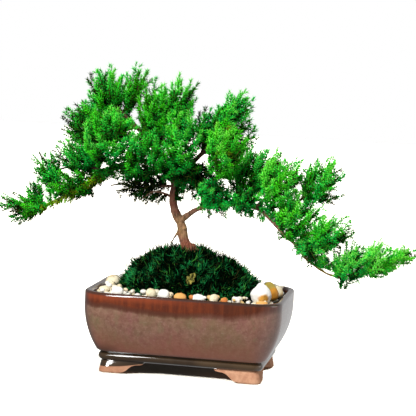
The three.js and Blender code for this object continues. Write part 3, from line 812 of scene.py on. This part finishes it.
def barkLook():
    look = Look("flaky bark")
    x, z = look.along("X"), look.along("Z")
    plates = look.noise(1, 5, 0.65, 0.5, look.stretched((420, 420, 130)))
    patch = look.noise(90, 4, 0.6)
    fine = look.noise(1, 3, 0.6, 0, look.stretched((1800, 1800, 500)))
    colour = look.mix(plates.ramp(0.36, 0.62), rgb(74, 50, 38), rgb(152, 112, 88))
    colour = look.mix(patch.ramp(0.5, 0.66) * 0.65, colour, rgb(128, 72, 56))
    colour = look.mix(fine.ramp(0.55, 0.75) * 0.45, colour, rgb(190, 158, 130))
    colour = look.mix((1 - plates.ramp(0.32, 0.43)) * 0.85, colour, rgb(34, 22, 18))
    # the outer ends of the branches are younger: greenish, then yellow green
    young = (x.ramp(105, 140) + (1 - x.ramp(-165, -125))).clamped()
    colour = look.mix(young * 0.85, colour, rgb(150, 148, 62))
    # the trunk is reddish at its foot, with a painted highlight pale below the fork
    onTrunk = x.ramp(-34, -30) * (1 - x.ramp(4, 10))
    # painted highlight: a pale band below the fork, patchy with the fine grain
    pale = z.ramp(131, 138) * (1 - z.ramp(148, 160)) * onTrunk
    colour = look.mix(pale * fine.ramp(0.3, 0.65) * 0.5, colour, rgb(196, 158, 98))
    red = (1 - z.ramp(127, 137)) + z.ramp(158, 168) * 0.7 * onTrunk
    colour = look.mix(red.clamped() * 0.42, colour, rgb(142, 66, 46))
    # its stub is dark, and painted shade darkens the wood under the crown
    stub = (1 - x.ramp(-20.5, -18.5)) * x.ramp(-30, -26) * (1 - z.ramp(143, 147))
    dark = (z.ramp(172, 194) * 0.75 + stub * 0.8).clamped()
    colour = look.mix(dark, colour, rgb(52, 34, 26))
    normal = look.bump(plates * 0.8 + fine * 0.3, 0.55, 0.0009)
    return look.surface(Base_Color=colour, Roughness=0.86, Normal=normal)


wood = makeWood()
finishPiece(wood, barkLook(), "trunk_and_branches", slot="bark")
print("trunk and branches done,", len(wood.data.polygons), "faces")


# Lumps grow from lumpsFrom up and tufts from tuftsFrom up. Strays have least and most width and length in mm.
mossShape = dict(
    grain=2.4 * mm, lumps=4.8 * mm, lumpsFrom=76 * mm, lumpsFull=84 * mm, tufts=4300, tuftsFrom=75.5 * mm,
    blades=6, length=5.4 * mm, width=0.75 * mm, sunk=0.8 * mm, bigShare=0.2, bigger=(1.3, 2),
    strays=900, leastStray=(1.1, 1.1, 9), mostStray=(1.6, 1.6, 15), seed=11,
)


def makeMoss():
    shape = mossShape
    # the mound itself, from the CAD shape, with soft lumps; its surface takes the darkest colour, painted
    # shade
    mound = mergedCopy("moss_mound", "mossMound")
    applyModifier(mound, "REMESH", mode="VOXEL", voxel_size=shape["grain"], adaptivity=0)
    applyModifier(mound, "SMOOTH", factor=0.6, iterations=6)
    normals = vertexNormals(mound)
    points, triangles = takeShape(mound)
    lumps = np.array([noise.noise(Vector(p) * 80) * 0.7 + noise.noise(Vector(p) * 230) * 0.5 for p in points])
    outer = np.clip((points[:, 2] - shape["lumpsFrom"]) / (shape["lumpsFull"] - shape["lumpsFrom"]), 0, 1)
    points = points + normals * ((lumps - 0.2) * shape["lumps"] * outer)[:, None]
    groups = [(points, triangles, {"lightAndAge": np.full(len(points), 0.0), "tint": np.full(len(points), 0.5)})]

    # tufts of blades over the outer face, in clumps that are darker or fresher
    rng = np.random.default_rng(shape["seed"])
    corners, area, facing = cornersOf(points, triangles)
    fromMiddle = corners[0] - np.array([potX, potY, 50 * mm])
    outside = np.einsum("ij,ij->i", facing, fromMiddle) > 0
    shown = (facing[:, 2] > -0.1) & (corners[0][:, 2] > shape["tuftsFrom"]) & outside
    count = shape["tufts"]
    spots, picks = scatter(rng, corners, area * shown, count)
    outward = facing[picks]
    fresh = np.array([noise.noise(Vector(p) * 60) + noise.noise(Vector(p) * 170) * 0.8 for p in spots])
    lean = rng.normal(0, 0.5, (count, 3))
    big = np.where(rng.random(count) < shape["bigShare"], rng.uniform(*shape["bigger"], count), 1.0)
    own = rng.normal(0, 0.22, count)
    deselectAll()
    bpy.ops.mesh.primitive_cone_add(vertices=3, radius1=0.5, radius2=0, depth=1, location=(0, 0, 0.5))
    blade = takeNew("blade")
    settle(blade)
    blade = takeShape(blade)
    for _ in range(shape["blades"]):
        directions = unit(outward + lean + rng.normal(0, 0.45, (count, 3)) + np.array([0, 0, 0.2]))
        length = shape["length"] * rng.uniform(0.5, 1.15, count) * big
        width = shape["width"] * rng.uniform(0.7, 1.25, count)
        turns = turnsAlong(directions, rng.uniform(0, 6.28, count), np.stack([width, width, length], axis=1))
        # big tufts are lighter where they stand out, a painted highlight
        lightAndAge = np.clip(0.27 + fresh * 0.62 + own + rng.normal(0, 0.17, count) + (big - 1) * 0.5, 0, 1.2)
        values = {"lightAndAge": lightAndAge, "tint": rng.random(count)}
        groups.append(copiesOf(blade, spots - outward * shape["sunk"], turns, values))

    # long stray threads that stand out of the cushion
    strays = rng.choice(count, shape["strays"], replace=False)
    directions = unit(outward[strays] + rng.normal(0, 0.5, (len(strays), 3)) + np.array([0, 0, 0.35]))
    sizes = rng.uniform(shape["leastStray"], shape["mostStray"], (len(strays), 3)) * mm
    turns = turnsAlong(directions, np.zeros(len(strays)), sizes)
    values = {"lightAndAge": own[strays] + fresh[strays] * 0.5 + 0.35, "tint": rng.random(len(strays))}
    groups.append(copiesOf(blade, spots[strays] - outward[strays] * mm, turns, values))
    return meshFrom("mossMound", *joined(groups))


def mossLook():
    look = Look("moss")
    lightAndAge, tint = look.attribute("lightAndAge"), look.attribute("tint")
    # the darkest colour is painted shade in the cushion; the lightest greens are partly fresh moss, partly
    # painted highlight
    colour = look.mix(lightAndAge.ramp(0.25, 0.75), rgb(1, 9, 3), rgb(9, 58, 28))
    colour = look.mix(lightAndAge.ramp(0.65, 1.05), colour, rgb(32, 138, 72))
    colour = look.mix(tint.ramp(0.85, 0.95) * lightAndAge.ramp(0.3, 0.8), colour, rgb(78, 160, 58))
    colour = look.mix(tint.ramp(0.1, 0.02) * 0.6, colour, rgb(70, 66, 34))
    return look.surface(Base_Color=colour, Roughness=0.8, Specular_IOR_Level=0.0)


moss = makeMoss()
finishPiece(moss, mossLook(), "moss_mound", slot="moss", smooth=False)
print("moss done,", len(moss.data.polygons), "faces")


# left and right: how much larger or smaller the pebbles are on each side
gravelShape = dict(
    halfX=91 * mm, halfY=63 * mm, cornerR=20 * mm, bedTop=77 * mm, layerStep=4.6 * mm, mostInLayer=(460, 64),
    mossX=82 * mm, mossY=51 * mm, mossShiftX=3 * mm, mossShiftY=2 * mm,
    tries=3200, smallest=2.3 * mm, largest=5.0 * mm, left=1.1, right=0.85, closeness=0.86, seed=21,
)


def insideRounded(x, y, halfX, halfY, cornerR):
    overX, overY = abs(x) - (halfX - cornerR), abs(y) - (halfY - cornerR)
    if overX > 0 and overY > 0:
        return math.hypot(overX, overY) < cornerR
    return overX < cornerR and overY < cornerR


def layPebbles(rng, level, most):  # places and sizes, clear of the wall, of the moss and of each other
    shape = gravelShape
    mossX = shape["mossX"] - level * 2 * mm
    laid = []
    for _ in range(shape["tries"]):
        if len(laid) >= most:
            break
        x = rng.uniform(-1, 1) * shape["halfX"]
        size = rng.uniform(shape["smallest"], shape["largest"]) * (shape["left"] if x < 0 else shape["right"])
        y = rng.uniform(-1, 1) * shape["halfY"]
        margin = size + level * 1.5 * mm
        wallX, wallY = shape["halfX"] - margin, shape["halfY"] - margin
        if not insideRounded(x, y, wallX, wallY, shape["cornerR"] - margin * 0.7):
            continue
        mossSide, mossFront = x - shape["mossShiftX"], y - shape["mossShiftY"]
        if mossSide ** 2 / mossX ** 2 + mossFront ** 2 / shape["mossY"] ** 2 < 1:
            continue
        if any(math.hypot(x - a, y - b) < (size + s) * shape["closeness"] for a, b, s in laid):
            continue
        laid.append((x, y, size))
    return laid


def makeGravel():  # a bed in painted shade, dark, and loose pebbles in two layers, between the moss and the wall
    shape = gravelShape
    rng = np.random.default_rng(shape["seed"])
    points, triangles = takeShape(mergedCopy("gravel_bed", "gravelBed"))
    groups = [(points, triangles, {"tone": np.full(len(points), -1.0)})]
    deselectAll()
    bpy.ops.mesh.primitive_ico_sphere_add(subdivisions=2, radius=1)
    pebble = takeNew("pebble")
    workOn(pebble)
    bpy.ops.object.mode_set(mode="EDIT")
    bpy.ops.mesh.vertices_smooth(factor=0.4, repeat=1)
    bpy.ops.object.mode_set(mode="OBJECT")
    pebbleShape = takeShape(pebble)
    for level, most in enumerate(shape["mostInLayer"]):
        laid = layPebbles(rng, level, most)
        count = len(laid)
        sizes = np.array([size for _, _, size in laid])
        height = shape["bedTop"] + 0.6 * mm + level * shape["layerStep"]
        places = np.array([[potX + x, potY + y, height + rng.uniform(-0.5, 0.9) * mm] for x, y, _ in laid])
        wide, deep = rng.uniform(0.85, 1.25, count), rng.uniform(0.7, 1, count)
        tall = rng.uniform(0.55, 0.85, count)
        scales = sizes[:, None] * np.stack([wide, deep, tall], axis=1)
        leanX, leanY = rng.normal(0, 0.25, count), rng.normal(0, 0.25, count)
        directions = unit(np.stack([leanX, leanY, np.ones(count)], axis=1))
        turns = turnsAlong(directions, rng.uniform(0, 6.28, count), scales)
        tone = rng.random(count) ** 1.3 * np.where(places[:, 0] < potX + 0.01, 0.8, 1)
        groups.append(copiesOf(pebbleShape, places, turns, {"tone": tone}))
    return meshFrom("gravel", *joined(groups))


def gravelLook():
    look = Look("river gravel")
    tone = look.attribute("tone")
    veins = look.noise(260, 4, 0.6)
    colour = look.mix(tone.ramp(0.25, 0.55), rgb(246, 242, 234), rgb(232, 218, 184))
    colour = look.mix(tone.ramp(0.7, 0.8), colour, rgb(226, 184, 118))
    colour = look.mix(tone.ramp(0.9, 0.93), colour, rgb(206, 126, 64))
    colour = look.mix(veins.ramp(0.5, 0.7) * 0.5, colour, rgb(184, 156, 116))
    # painted shade: the bed between the pebbles is near black
    colour = look.mix(1 - tone.ramp(-0.9, -0.1), colour, rgb(30, 24, 16))
    return look.surface(Base_Color=colour, Roughness=0.45 + veins * 0.2, Specular_IOR_Level=0.4)


def stoneLook(name, base, second, share, patchAt=None, patch=None):
    look = Look(name)
    cloud = look.noise(70, 4, 0.6)
    speck = look.noise(520, 3, 0.6)
    colour = look.mix(cloud.ramp(share, share + 0.18), base, second)
    if patchAt:
        reach, spot = patchAt
        away = look.distance(spot) + (cloud - 0.5) * 0.008
        colour = look.mix(1 - away.ramp(reach * 0.55, reach), colour, patch)
    colour = look.mix(speck.ramp(0.58, 0.75) * 0.3, colour, second)
    pits = look.bump(speck, 0.15, 0.0004)
    return look.surface(Base_Color=colour, Roughness=0.4 + speck * 0.25, Normal=pits)


def smoothStone(node, seed, flatness=0.6, taper=0.0):  # a worn stone in the place of the CAD's plain one
    stone = mergedCopy(node, "worn_" + node)
    applyModifier(stone, "SUBSURF", levels=2, render_levels=2)
    points, _ = meshArrays(stone)
    low, high = points.min(axis=0), points.max(axis=0)
    centre, half = (low + high) / 2, (high - low) / 2
    shift = Vector((seed * 3.1, 0, 0))
    for i, point in enumerate(points):
        out = unit(point - centre)
        dent = noise.noise(Vector(out) * 1.4 + shift) * 0.16 + noise.noise(Vector(out) * 3.5 + shift) * 0.05
        narrow = 1 - taper * max(0, out[2]) ** 1.2
        drawn = np.array([narrow, narrow, 1 + taper * 0.2])
        points[i] = centre + (point - centre) * (1.04 + dent * flatness) * drawn
    points = np.clip(points, centre - half * 1.12, centre + half * 1.12)
    stone.data.vertices.foreach_set("co", points.ravel())
    stone.data.update()
    return stone


gravel = makeGravel()
finishPiece(gravel, gravelLook(), "gravel_bed", slot="gravel")
lookOf = {
    "pebble_white": stoneLook("white stone", rgb(246, 243, 236), rgb(226, 210, 190), 0.55),
    "pebble_cream": stoneLook("cream stone", rgb(232, 220, 188), rgb(214, 184, 130), 0.5),
    "pebble_orange": stoneLook("orange stone", rgb(226, 168, 96), rgb(204, 120, 56), 0.45),
}
slotOf = {part["node"]: part["material_slot"] for part in frame["record"]["subparts"]}
pebbleNames = sorted(name for name in nodes if name.startswith("pebble_"))
for order, name in enumerate(pebbleNames + ["stone_cream", "stone_tan_left"]):
    finishPiece(smoothStone(name, order), lookOf[slotOf[name]], name, slot=slotOf[name])

# the two big stones have looks of their own, each with a patch of another colour low on its right
low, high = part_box("stone_white_large")
rustAt = Vector((high.x - 6 * mm, low.y + 2 * mm, low.z + 6 * mm))
bigWhite = stoneLook("big white stone", rgb(250, 248, 242), rgb(238, 228, 214), 0.6,
                     (7 * mm, rustAt), rgb(226, 164, 62))
worn = smoothStone("stone_white_large", 30, 0.9, 0.45)
finishPiece(worn, bigWhite, "stone_white_large", slot="pebble_white")
low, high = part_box("stone_olive")
sunAt = Vector((high.x, low.y, (low.z + high.z) / 2))
olive = stoneLook("olive stone", rgb(150, 132, 56), rgb(186, 160, 92), 0.5,
                  (11 * mm, sunAt), rgb(196, 132, 42))
worn = smoothStone("stone_olive", 31, 0.9, 0.3)
finishPiece(worn, olive, "stone_olive", slot="pebble_olive")
print("gravel and stones done,", len(gravel.data.polygons), "faces in the gravel")


leafShape = dict(length=13.5 * mm, width=10 * mm, curl=2.4 * mm, thick=0.35 * mm, teeth=3, seed=5,
                 turn=(72, -62, 14))


def makeDryLeaf():  # a withered leaf, toothed, creased along its midrib and crumpled
    shape = leafShape
    low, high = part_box("dry_leaf")
    deselectAll()
    bpy.ops.mesh.primitive_grid_add(x_subdivisions=26, y_subdivisions=14, size=2)
    leaf = takeNew("dryLeaf")
    shift = Vector((shape["seed"], 0, 0))
    for vertex in leaf.data.vertices:
        along, across = vertex.co.x, vertex.co.y
        teeth = abs(math.sin((along + 1) * math.pi / 2 * shape["teeth"]))
        outline = max(0.04, (1 - abs(along) ** 1.6)) ** 0.8 * (0.55 + 0.45 * teeth)
        x = along * shape["length"] / 2
        y = across * outline * shape["width"] / 2
        crumple = noise.noise(Vector((along * 2.2, across * 1.6, 0)) + shift)
        z = shape["curl"] * (abs(across) * outline * 0.9 - along * along * 0.6 + crumple * 0.9)
        vertex.co = (x, y + crumple * 0.8 * mm, z)
    applyModifier(leaf, "SOLIDIFY", thickness=shape["thick"], offset=0)
    leaf.rotation_euler = [math.radians(angle) for angle in shape["turn"]]
    leaf.location = (low + high) / 2
    settle(leaf)
    return leaf


def dryLeafLook():
    look = Look("dry leaf")
    blotch = look.noise(340, 4, 0.6)
    fine = look.noise(1500, 3, 0.6)
    colour = look.mix(blotch.ramp(0.42, 0.6), rgb(66, 68, 22), rgb(164, 152, 72))
    colour = look.mix(fine.ramp(0.6, 0.75) * 0.6, colour, rgb(92, 66, 28))
    return look.surface(Base_Color=colour, Roughness=0.7, Normal=look.bump(fine, 0.3, 0.0003))


def soilLook():
    look = Look("potting soil")
    crumbs = look.noise(600, 5, 0.7)
    bark = look.noise(160, 3, 0.6)
    colour = look.mix(crumbs.ramp(0.35, 0.65), rgb(34, 24, 17), rgb(86, 62, 44))
    colour = look.mix(bark.ramp(0.6, 0.7) * 0.5, colour, rgb(120, 84, 54))
    return look.surface(Base_Color=colour, Roughness=0.95, Normal=look.bump(crumbs, 0.7, 0.0012))


def netLook():
    look = Look("plastic net")
    dust = look.noise(420, 4, 0.6)
    colour = look.mix(dust.ramp(0.45, 0.75) * 0.7, rgb(28, 40, 32), rgb(92, 84, 70))
    return look.surface(Base_Color=colour, Roughness=0.55 + dust * 0.3, Normal=look.bump(dust, 0.2, 0.0003))


leaf = makeDryLeaf()
finishPiece(leaf, dryLeafLook(), "dry_leaf", slot="dry_leaf")
nets = netLook()
for name, look in (("soil", soilLook()), ("drain_net_left", nets), ("drain_net_right", nets)):
    nodes[name].data.materials.clear()
    nodes[name].data.materials.append(look.material)
print("leaf, soil and nets done")


# Needles stand in rings. Spread is their angle from the shoot, and closing how much it shrinks per ring.
needleShape = dict(length=5.2 * mm, width=1.25 * mm, whorls=2, perWhorl=3, gap=2.4 * mm, spread=55, closing=4,
                   tipSpread=42, tipClosing=14)
# A shoot's way is mixed from the way out of the pad's foot, the way out of its surface and its flow.
# Shells: how far out against the CAD's pad, how lit, and the spacing of the shoots against the usual.
shootShape = dict(
    spacing=9.2 * mm, shortest=17 * mm, longest=27 * mm, stem=0.9 * mm, step=4.8 * mm, bend=0.06, rise=0.03,
    fromFoot=0.62, fromSurface=0.18, withFlow=0.5, wander=0.12, overhang=3 * mm,
    sideAngle=44, sidePitch=5.6 * mm, sideShare=0.4, sideLeast=2.6 * mm, sideWander=0.13, sideSize=0.92,
    straggling=0.34, stragglers=(3, 8), dim=0.25, dimmed=(0.3, 0.65), usual=(0.85, 1.4), looseWander=0.28,
    shells=((1.03, 1.0, 0.92), (0.74, 0.36, 1.0)), firstSeed=100,
)
# Each leafy pad of the CAD is filled with feathery shoots that fan out from its foot.
# flow: the way its shoots grow; bright: how lit and fresh; hue: 0 bluish, 1 yellowish;
# gap and reach: how far apart and how long its shoots are, against the usual.
padGrowth = {
    "left_tip": dict(flow=(-0.9, -0.1, 0), bright=0.65, hue=0.45),
    "left_tip_upper": dict(flow=(-0.4, 0, 0.9), bright=0.61, hue=0.5),
    "left_arm_outer": dict(flow=(-0.5, 0, 0.8), bright=0.66, hue=0.35),
    "left_arm_lower": dict(flow=(-0.5, -0.5, 0.3), bright=0.48, hue=0.5),
    "left_arm_under": dict(flow=(-0.5, -0.3, -0.3), bright=0.3, hue=0.9),
    "left_arm_upper": dict(flow=(-0.45, 0, 0.8), bright=0.61, hue=0.4),
    "left_crown_edge": dict(flow=(-0.8, 0, 0.7), bright=0.6, hue=0.5),
    "left_crown_front": dict(flow=(0.25, -0.55, 0.75), bright=0.92, hue=0.55),
    "left_crown_top": dict(flow=(-0.2, 0, 1), bright=0.78, hue=0.55),
    "left_crown_peak": dict(flow=(0.3, 0, 1), bright=0.7, hue=0.6, gap=1.25, reach=1.1),
    "left_crown_back": dict(flow=(-0.4, 0.7, 0.6), bright=0.7, hue=0.5),
    "mid_crown_left": dict(flow=(0.05, 0, 1), bright=0.93, hue=0.55, gap=1.3),
    "mid_crown_top": dict(flow=(0.2, 0, 1), bright=0.96, hue=0.55, gap=1.2),
    "mid_crown_front": dict(flow=(0.1, -0.6, 0.7), bright=0.74, hue=0.5),
    "mid_crown_right": dict(flow=(0.2, -0.5, 0.9), bright=0.93, hue=0.5),
    "mid_crown_back": dict(flow=(0, 0.8, 0.7), bright=0.74, hue=0.5),
    "mid_crown_low": dict(flow=(0.2, -0.7, 0.1), bright=0.47, hue=0.4),
    "under_left_twig": dict(flow=(-1, 0, -0.2), bright=0.2, hue=0.3, gap=1.1, reach=0.9),
    "right_crown_top": dict(flow=(0.7, 0, 0.8), bright=1.2, hue=0.45, reach=1.1),
    "right_crown_inner": dict(flow=(0.3, 0, 1), bright=0.55, hue=0.4, gap=1.15),
    "right_crown_front": dict(flow=(0.35, -0.5, 0.8), bright=1.1, hue=0.6),
    "right_crown_back": dict(flow=(0.4, 0.8, 0.6), bright=0.8, hue=0.5),
    "right_crown_under": dict(flow=(0.3, -0.3, -0.4), bright=0.25, hue=0.3),
    "right_crown_low": dict(flow=(0.3, -0.6, -0.2), bright=0.75, hue=0.15),
    "right_arm_inner": dict(flow=(0.4, 0.1, 0.9), bright=0.82, hue=0.45),
    "right_arm_front": dict(flow=(0.35, -0.4, 0.9), bright=1.02, hue=0.55),
    "right_arm_low": dict(flow=(0.3, -0.6, 0.4), bright=0.74, hue=0.35),
    "right_outer_top": dict(flow=(0.45, 0, 0.9), bright=0.98, hue=0.45, gap=1.15, reach=1.15),
    "right_outer_twig": dict(flow=(1, 0, 0.1), bright=0.56, hue=0.35, gap=1.2),
    "right_mid_upper": dict(flow=(0.5, -0.4, 0.8), bright=1.07, hue=0.55),
    "right_mid_outer": dict(flow=(0.6, -0.3, 0.7), bright=1.02, hue=0.5),
    "right_mid_under": dict(flow=(0.3, -0.4, -0.3), bright=0.98, hue=0.1),
    "right_tip_inner": dict(flow=(0.4, -0.2, 0.7), bright=1.3, hue=0.2),
    "right_tip_outer": dict(flow=(0.7, -0.2, 0.6), bright=1.6, hue=0.45),
    "right_tip_end": dict(flow=(1, 0, 0.4), bright=1.65, hue=0.6),
}


def makeSprig(spread, closing):  # rings of needles, modelled once
    shape = needleShape
    needlesMade = []
    for whorl in range(shape["whorls"]):
        tilt = math.radians(spread - closing * whorl)
        for k in range(shape["perWhorl"]):
            around = math.radians(k * 360 / shape["perWhorl"] + whorl * 60)
            out = math.sin(tilt)
            direction = Vector((out * math.cos(around), out * math.sin(around), math.cos(tilt)))
            foot = Vector((0, 0, whorl * shape["gap"]))
            deselectAll()
            bpy.ops.mesh.primitive_cone_add(vertices=3, radius1=shape["width"] / 2, depth=shape["length"])
            needle = takeNew("needle")
            needle.rotation_euler = direction.to_track_quat("Z", "Y").to_euler()
            needle.location = foot + direction * shape["length"] / 2
            settle(needle)
            needlesMade.append(needle)
    return takeShape(joinAll(needlesMade))


def makeStem():  # one unit long and one wide, for every shoot
    deselectAll()
    bpy.ops.mesh.primitive_cone_add(vertices=3, radius1=0.5, radius2=0.3, depth=1, location=(0, 0, 0.5))
    stem = takeNew("stem")
    settle(stem)
    return takeShape(stem)


class Grower:  # collects the places of all the sprigs and stems of one pad
    def __init__(self, rng):
        self.rng = rng
        self.sprigs = []
        self.stems = []

    def shoot(self, start, way, length, lightAndAge, tint, size=1.0):  # one leafy shoot, bending a little upward
        rng = self.rng
        steps = max(1, int(round(length / (shootShape["step"] * size))))
        place = np.array(start)
        for k in range(steps):
            way = unit(way + rng.normal(0, shootShape["bend"], 3) + np.array([0, 0, shootShape["rise"]]))
            here = lightAndAge * (0.5 + 0.5 * (k + 1) / steps) * rng.uniform(0.85, 1.15)
            if k == steps - 1:
                here = here * 1.12 + 0.05
            sizeHere = size * rng.uniform(0.9, 1.08) * (1 - 0.3 * (k / steps) ** 2)
            self.sprigs.append((*place, *way, sizeHere, here, tint, k == steps - 1))
            place = place + way * length / steps
        self.stems.append((*start, *(place - start), length, lightAndAge, tint))

    def spray(self, start, way, side, length, lightAndAge, tint):  # a shoot with shorter ones on both hands
        rng, shape = self.rng, shootShape
        self.shoot(start, way, length, lightAndAge, tint)
        count = max(2, int(length / shape["sidePitch"]))
        for k in range(count):
            along = (k + 0.5 * rng.random()) / count
            hand = 1 if k % 2 else -1
            lean = math.radians(shape["sideAngle"]) * rng.uniform(0.8, 1.2)
            sideWay = way * math.cos(lean) + side * hand * math.sin(lean)
            sideWay = unit(sideWay + rng.normal(0, shape["sideWander"], 3))
            sideLength = (1 - along) * length * shape["sideShare"] + shape["sideLeast"]
            at = start + way * length * along
            sideLightAndAge, sideTint = lightAndAge * rng.uniform(0.7, 1.1), tint + rng.normal(0, 0.08)
            self.shoot(at, sideWay, sideLength, sideLightAndAge, sideTint, shape["sideSize"])

    def mesh(self, name):
        rng = self.rng
        sprigs = np.array(self.sprigs, dtype=float)
        groups = []
        for shape, isTip in ((sprigBody, 0), (sprigTip, 1)):
            chosen = sprigs[sprigs[:, 9] == isTip]
            turns = turnsAlong(chosen[:, 3:6], rng.uniform(0, 6.28, len(chosen)), chosen[:, 6])
            values = {"lightAndAge": chosen[:, 7], "tint": chosen[:, 8], "stem": np.zeros(len(chosen))}
            out = np.linalg.norm(shape[0][:, :2], axis=1) / (needleShape["length"] * 0.8)
            groups.append(copiesOf(shape, chosen[:, :3], turns, values, {"out": out}))
        stems = np.array(self.stems)
        thick = np.full(len(stems), shootShape["stem"])
        sizes = np.stack([thick, thick, np.linalg.norm(stems[:, 3:6], axis=1)], axis=1)
        turns = turnsAlong(unit(stems[:, 3:6]), np.zeros(len(stems)), sizes)
        values = {"lightAndAge": stems[:, 7], "tint": stems[:, 8], "stem": np.ones(len(stems))}
        values["out"] = np.zeros(len(stems))
        groups.append(copiesOf(stemShape, stems[:, :3], turns, values))
        return meshFrom(name, *joined(groups))


# Loose shoots that come straight out of the branches between the pads: where from and to, measured in mm from
# the middle of the pot's base, how many, the way they grow, how long in mm, how lit and the hue.
looseShoots = {
    "left_tip": [((-166, -26, 153), (-120, -20, 173), 20, (-0.5, -0.35, -0.5), 8, 0.7, 1.0)],
    "left_tip_upper": [((-152, -25, 158), (-134, -22, 168), 7, (-0.35, -0.2, 1), 17, 0.8, 0.5)],
    "left_arm_lower": [((-124, -22, 176), (-92, -16, 194), 18, (-0.3, -0.5, -0.4), 10, 0.44, 1.0)],
    "left_arm_under": [((-100, -16, 198), (-62, -10, 209), 18, (-0.15, -0.6, -0.7), 14, 0.5, 0.5)],
    "under_left_twig": [((-88, 2, 204), (-58, 0, 204), 14, (-0.3, -0.2, -1), 18, 0.35, 0.3),
                        ((-58, -6, 176), (-28, -3, 177), 12, (-0.5, -0.3, -0.5), 12, 0.2, 0.3)],
    "mid_crown_low": [((-20, -5, 200), (-2, -8, 202), 12, (0.35, -0.3, -1), 19, 0.5, 0.3),
                      ((-20, -3, 194), (-21, -3, 172), 11, (0.8, -0.3, -0.6), 11, 0.24, 0.3)],
    "right_crown_low": [((12, -28, 176), (48, -28, 176), 12, (0.15, -0.5, -0.8), 12, 0.8, 0.2),
                        ((27, -12, 171), (42, -14, 172), 10, (0.1, -0.2, 1), 16, 0.38, 0.3)],
    "right_arm_low": [((40, -15, 171), (74, -18, 165), 10, (0.2, -0.4, -0.6), 10, 0.7, 0.3)],
    "right_mid_upper": [((84, -20, 156), (104, -21, 138), 8, (0.6, -0.3, 0.5), 15, 0.8, 0.4),
                        ((62, -16, 171), (86, -20, 155), 13, (0.35, -0.3, 0.85), 12, 0.55, 0.35)],
    "right_mid_under": [((104, -21, 138), (133, -22, 113), 14, (0.7, -0.2, 0.5), 14, 0.9, 0.4)],
    "right_tip_inner": [((124, -22, 118), (160, -20, 109), 16, (0.45, -0.3, 0.7), 13, 1.0, 0.4)],
    "right_tip_end": [((186, -18, 117), (213, -16, 131), 14, (0.9, -0.2, 0.1), 13, 1.3, 0.6)],
}


def growPad(name, seed, flow, bright, hue, gap=1.0, reach=1.0):
    shape = shootShape
    node = "foliage_" + name
    rng = np.random.default_rng(seed)
    points, triangles = meshArrays(nodes[node])
    low, high = (np.array(corner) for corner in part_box(node))
    centre = (low + high) / 2
    flow = unit(np.array(flow, dtype=float))
    foot = centre - flow * np.sum(np.abs(flow) * (high - low)) / 2 * 0.85
    grower = Grower(rng)
    for shell, lightAndAge, spacing in shape["shells"]:
        shellPoints = centre + (points - centre) * shell
        spots, outward = spreadSpots(rng, shellPoints, triangles, shape["spacing"] * spacing * gap)
        for spot, normal in zip(spots, outward):
            facing = float(normal @ flow)
            way = unit(spot - foot) * shape["fromFoot"] + normal * shape["fromSurface"]
            way = unit(way + flow * shape["withFlow"] + rng.normal(0, shape["wander"], 3))
            side = unit(np.cross(normal, way) + rng.normal(0, 0.25, 3))
            length = rng.uniform(shape["shortest"], shape["longest"]) * reach
            length = length * (0.85 if shell < 1 else 1) * (0.75 + 0.25 * max(0, facing + 0.4))
            tip = spot + way * shape["overhang"] * rng.uniform(-0.6, 1.3) * (shell > 1)
            if shell > 1 and facing > 0 and rng.random() < shape["straggling"]:
                reachOut = rng.uniform(*shape["stragglers"]) * mm
                tip = tip + way * reachOut
                length += reachOut * 0.6
            lit = 0.5 + 0.5 * min(1, max(0, normal[2] * 0.7 - normal[1] * 0.35 + 0.45))
            own = rng.uniform(*shape["dimmed"] if rng.random() < shape["dim"] else shape["usual"])
            tint = np.clip(hue + rng.normal(0, 0.13), 0, 1)
            # the shoot carries painted light: how lit its place is, with the pad's brightness and its own
            # tone
            grower.spray(tip - way * length, way, side, length, bright * lightAndAge * lit * own, tint)
    for start, end, count, looseFlow, long, looseBright, looseHue in looseShoots.get(name, []):
        looseFlow = unit(np.array(looseFlow, dtype=float))
        for k in range(count):
            place = np.array(start) + (np.array(end) - np.array(start)) * (k + rng.random()) / count
            way = unit(looseFlow + rng.normal(0, shape["looseWander"], 3))
            side = unit(np.cross(way, rng.normal(0, 1, 3)))
            length = long * rng.uniform(0.75, 1.2) * mm
            lightAndAge = looseBright * rng.uniform(0.6, 1.2)
            tint = np.clip(looseHue + rng.normal(0, 0.1), 0, 1)
            grower.spray(np.array(potMiddle) + place * mm, way, side, length, lightAndAge, tint)
    return grower.mesh("needles_" + name)


def needleLook():
    look = Look("juniper needles")
    # each shoot's value of light and age: painted light for how lit it is, with how fresh it is
    lightAndAge, tint = look.attribute("lightAndAge"), look.attribute("tint")
    patch = look.noise(45, 3, 0.5)
    fresh = look.mix(tint.ramp(0.15, 0.85), rgb(10, 226, 84), rgb(70, 244, 6))
    fresh = look.mix(tint.ramp(0.93, 1.0) * 0.7, fresh, rgb(206, 188, 40))  # old needles along the branches
    out = look.attribute("out")  # needles are darkest where they meet the shoot, a painted shade
    lit = lightAndAge * (out.ramp(0, 0.9) * 1.05 + 0.45) + (patch - 0.5) * 0.35
    colour = look.mix(lit.ramp(0.12, 0.82), rgb(1, 14, 3), fresh)
    colour = look.mix(lit.ramp(0.75, 1.4) * 0.75, colour, rgb(146, 255, 92))
    colour = look.mix(look.attribute("stem") * 0.7, colour, rgb(96, 104, 40))
    return look.surface(Base_Color=colour, Roughness=0.7, Specular_IOR_Level=0.05)


sprigBody = makeSprig(needleShape["spread"], needleShape["closing"])
sprigTip = makeSprig(needleShape["tipSpread"], needleShape["tipClosing"])
stemShape = makeStem()
needles = needleLook()
total = 0
for order, (name, growth) in enumerate(padGrowth.items()):
    piece = growPad(name, shootShape["firstSeed"] + order, **growth)
    total += len(piece.data.polygons)
    finishPiece(piece, needles, "foliage_" + name, slot="needles", smooth=False)
print("foliage done,", total, "faces in", len(padGrowth), "pieces")
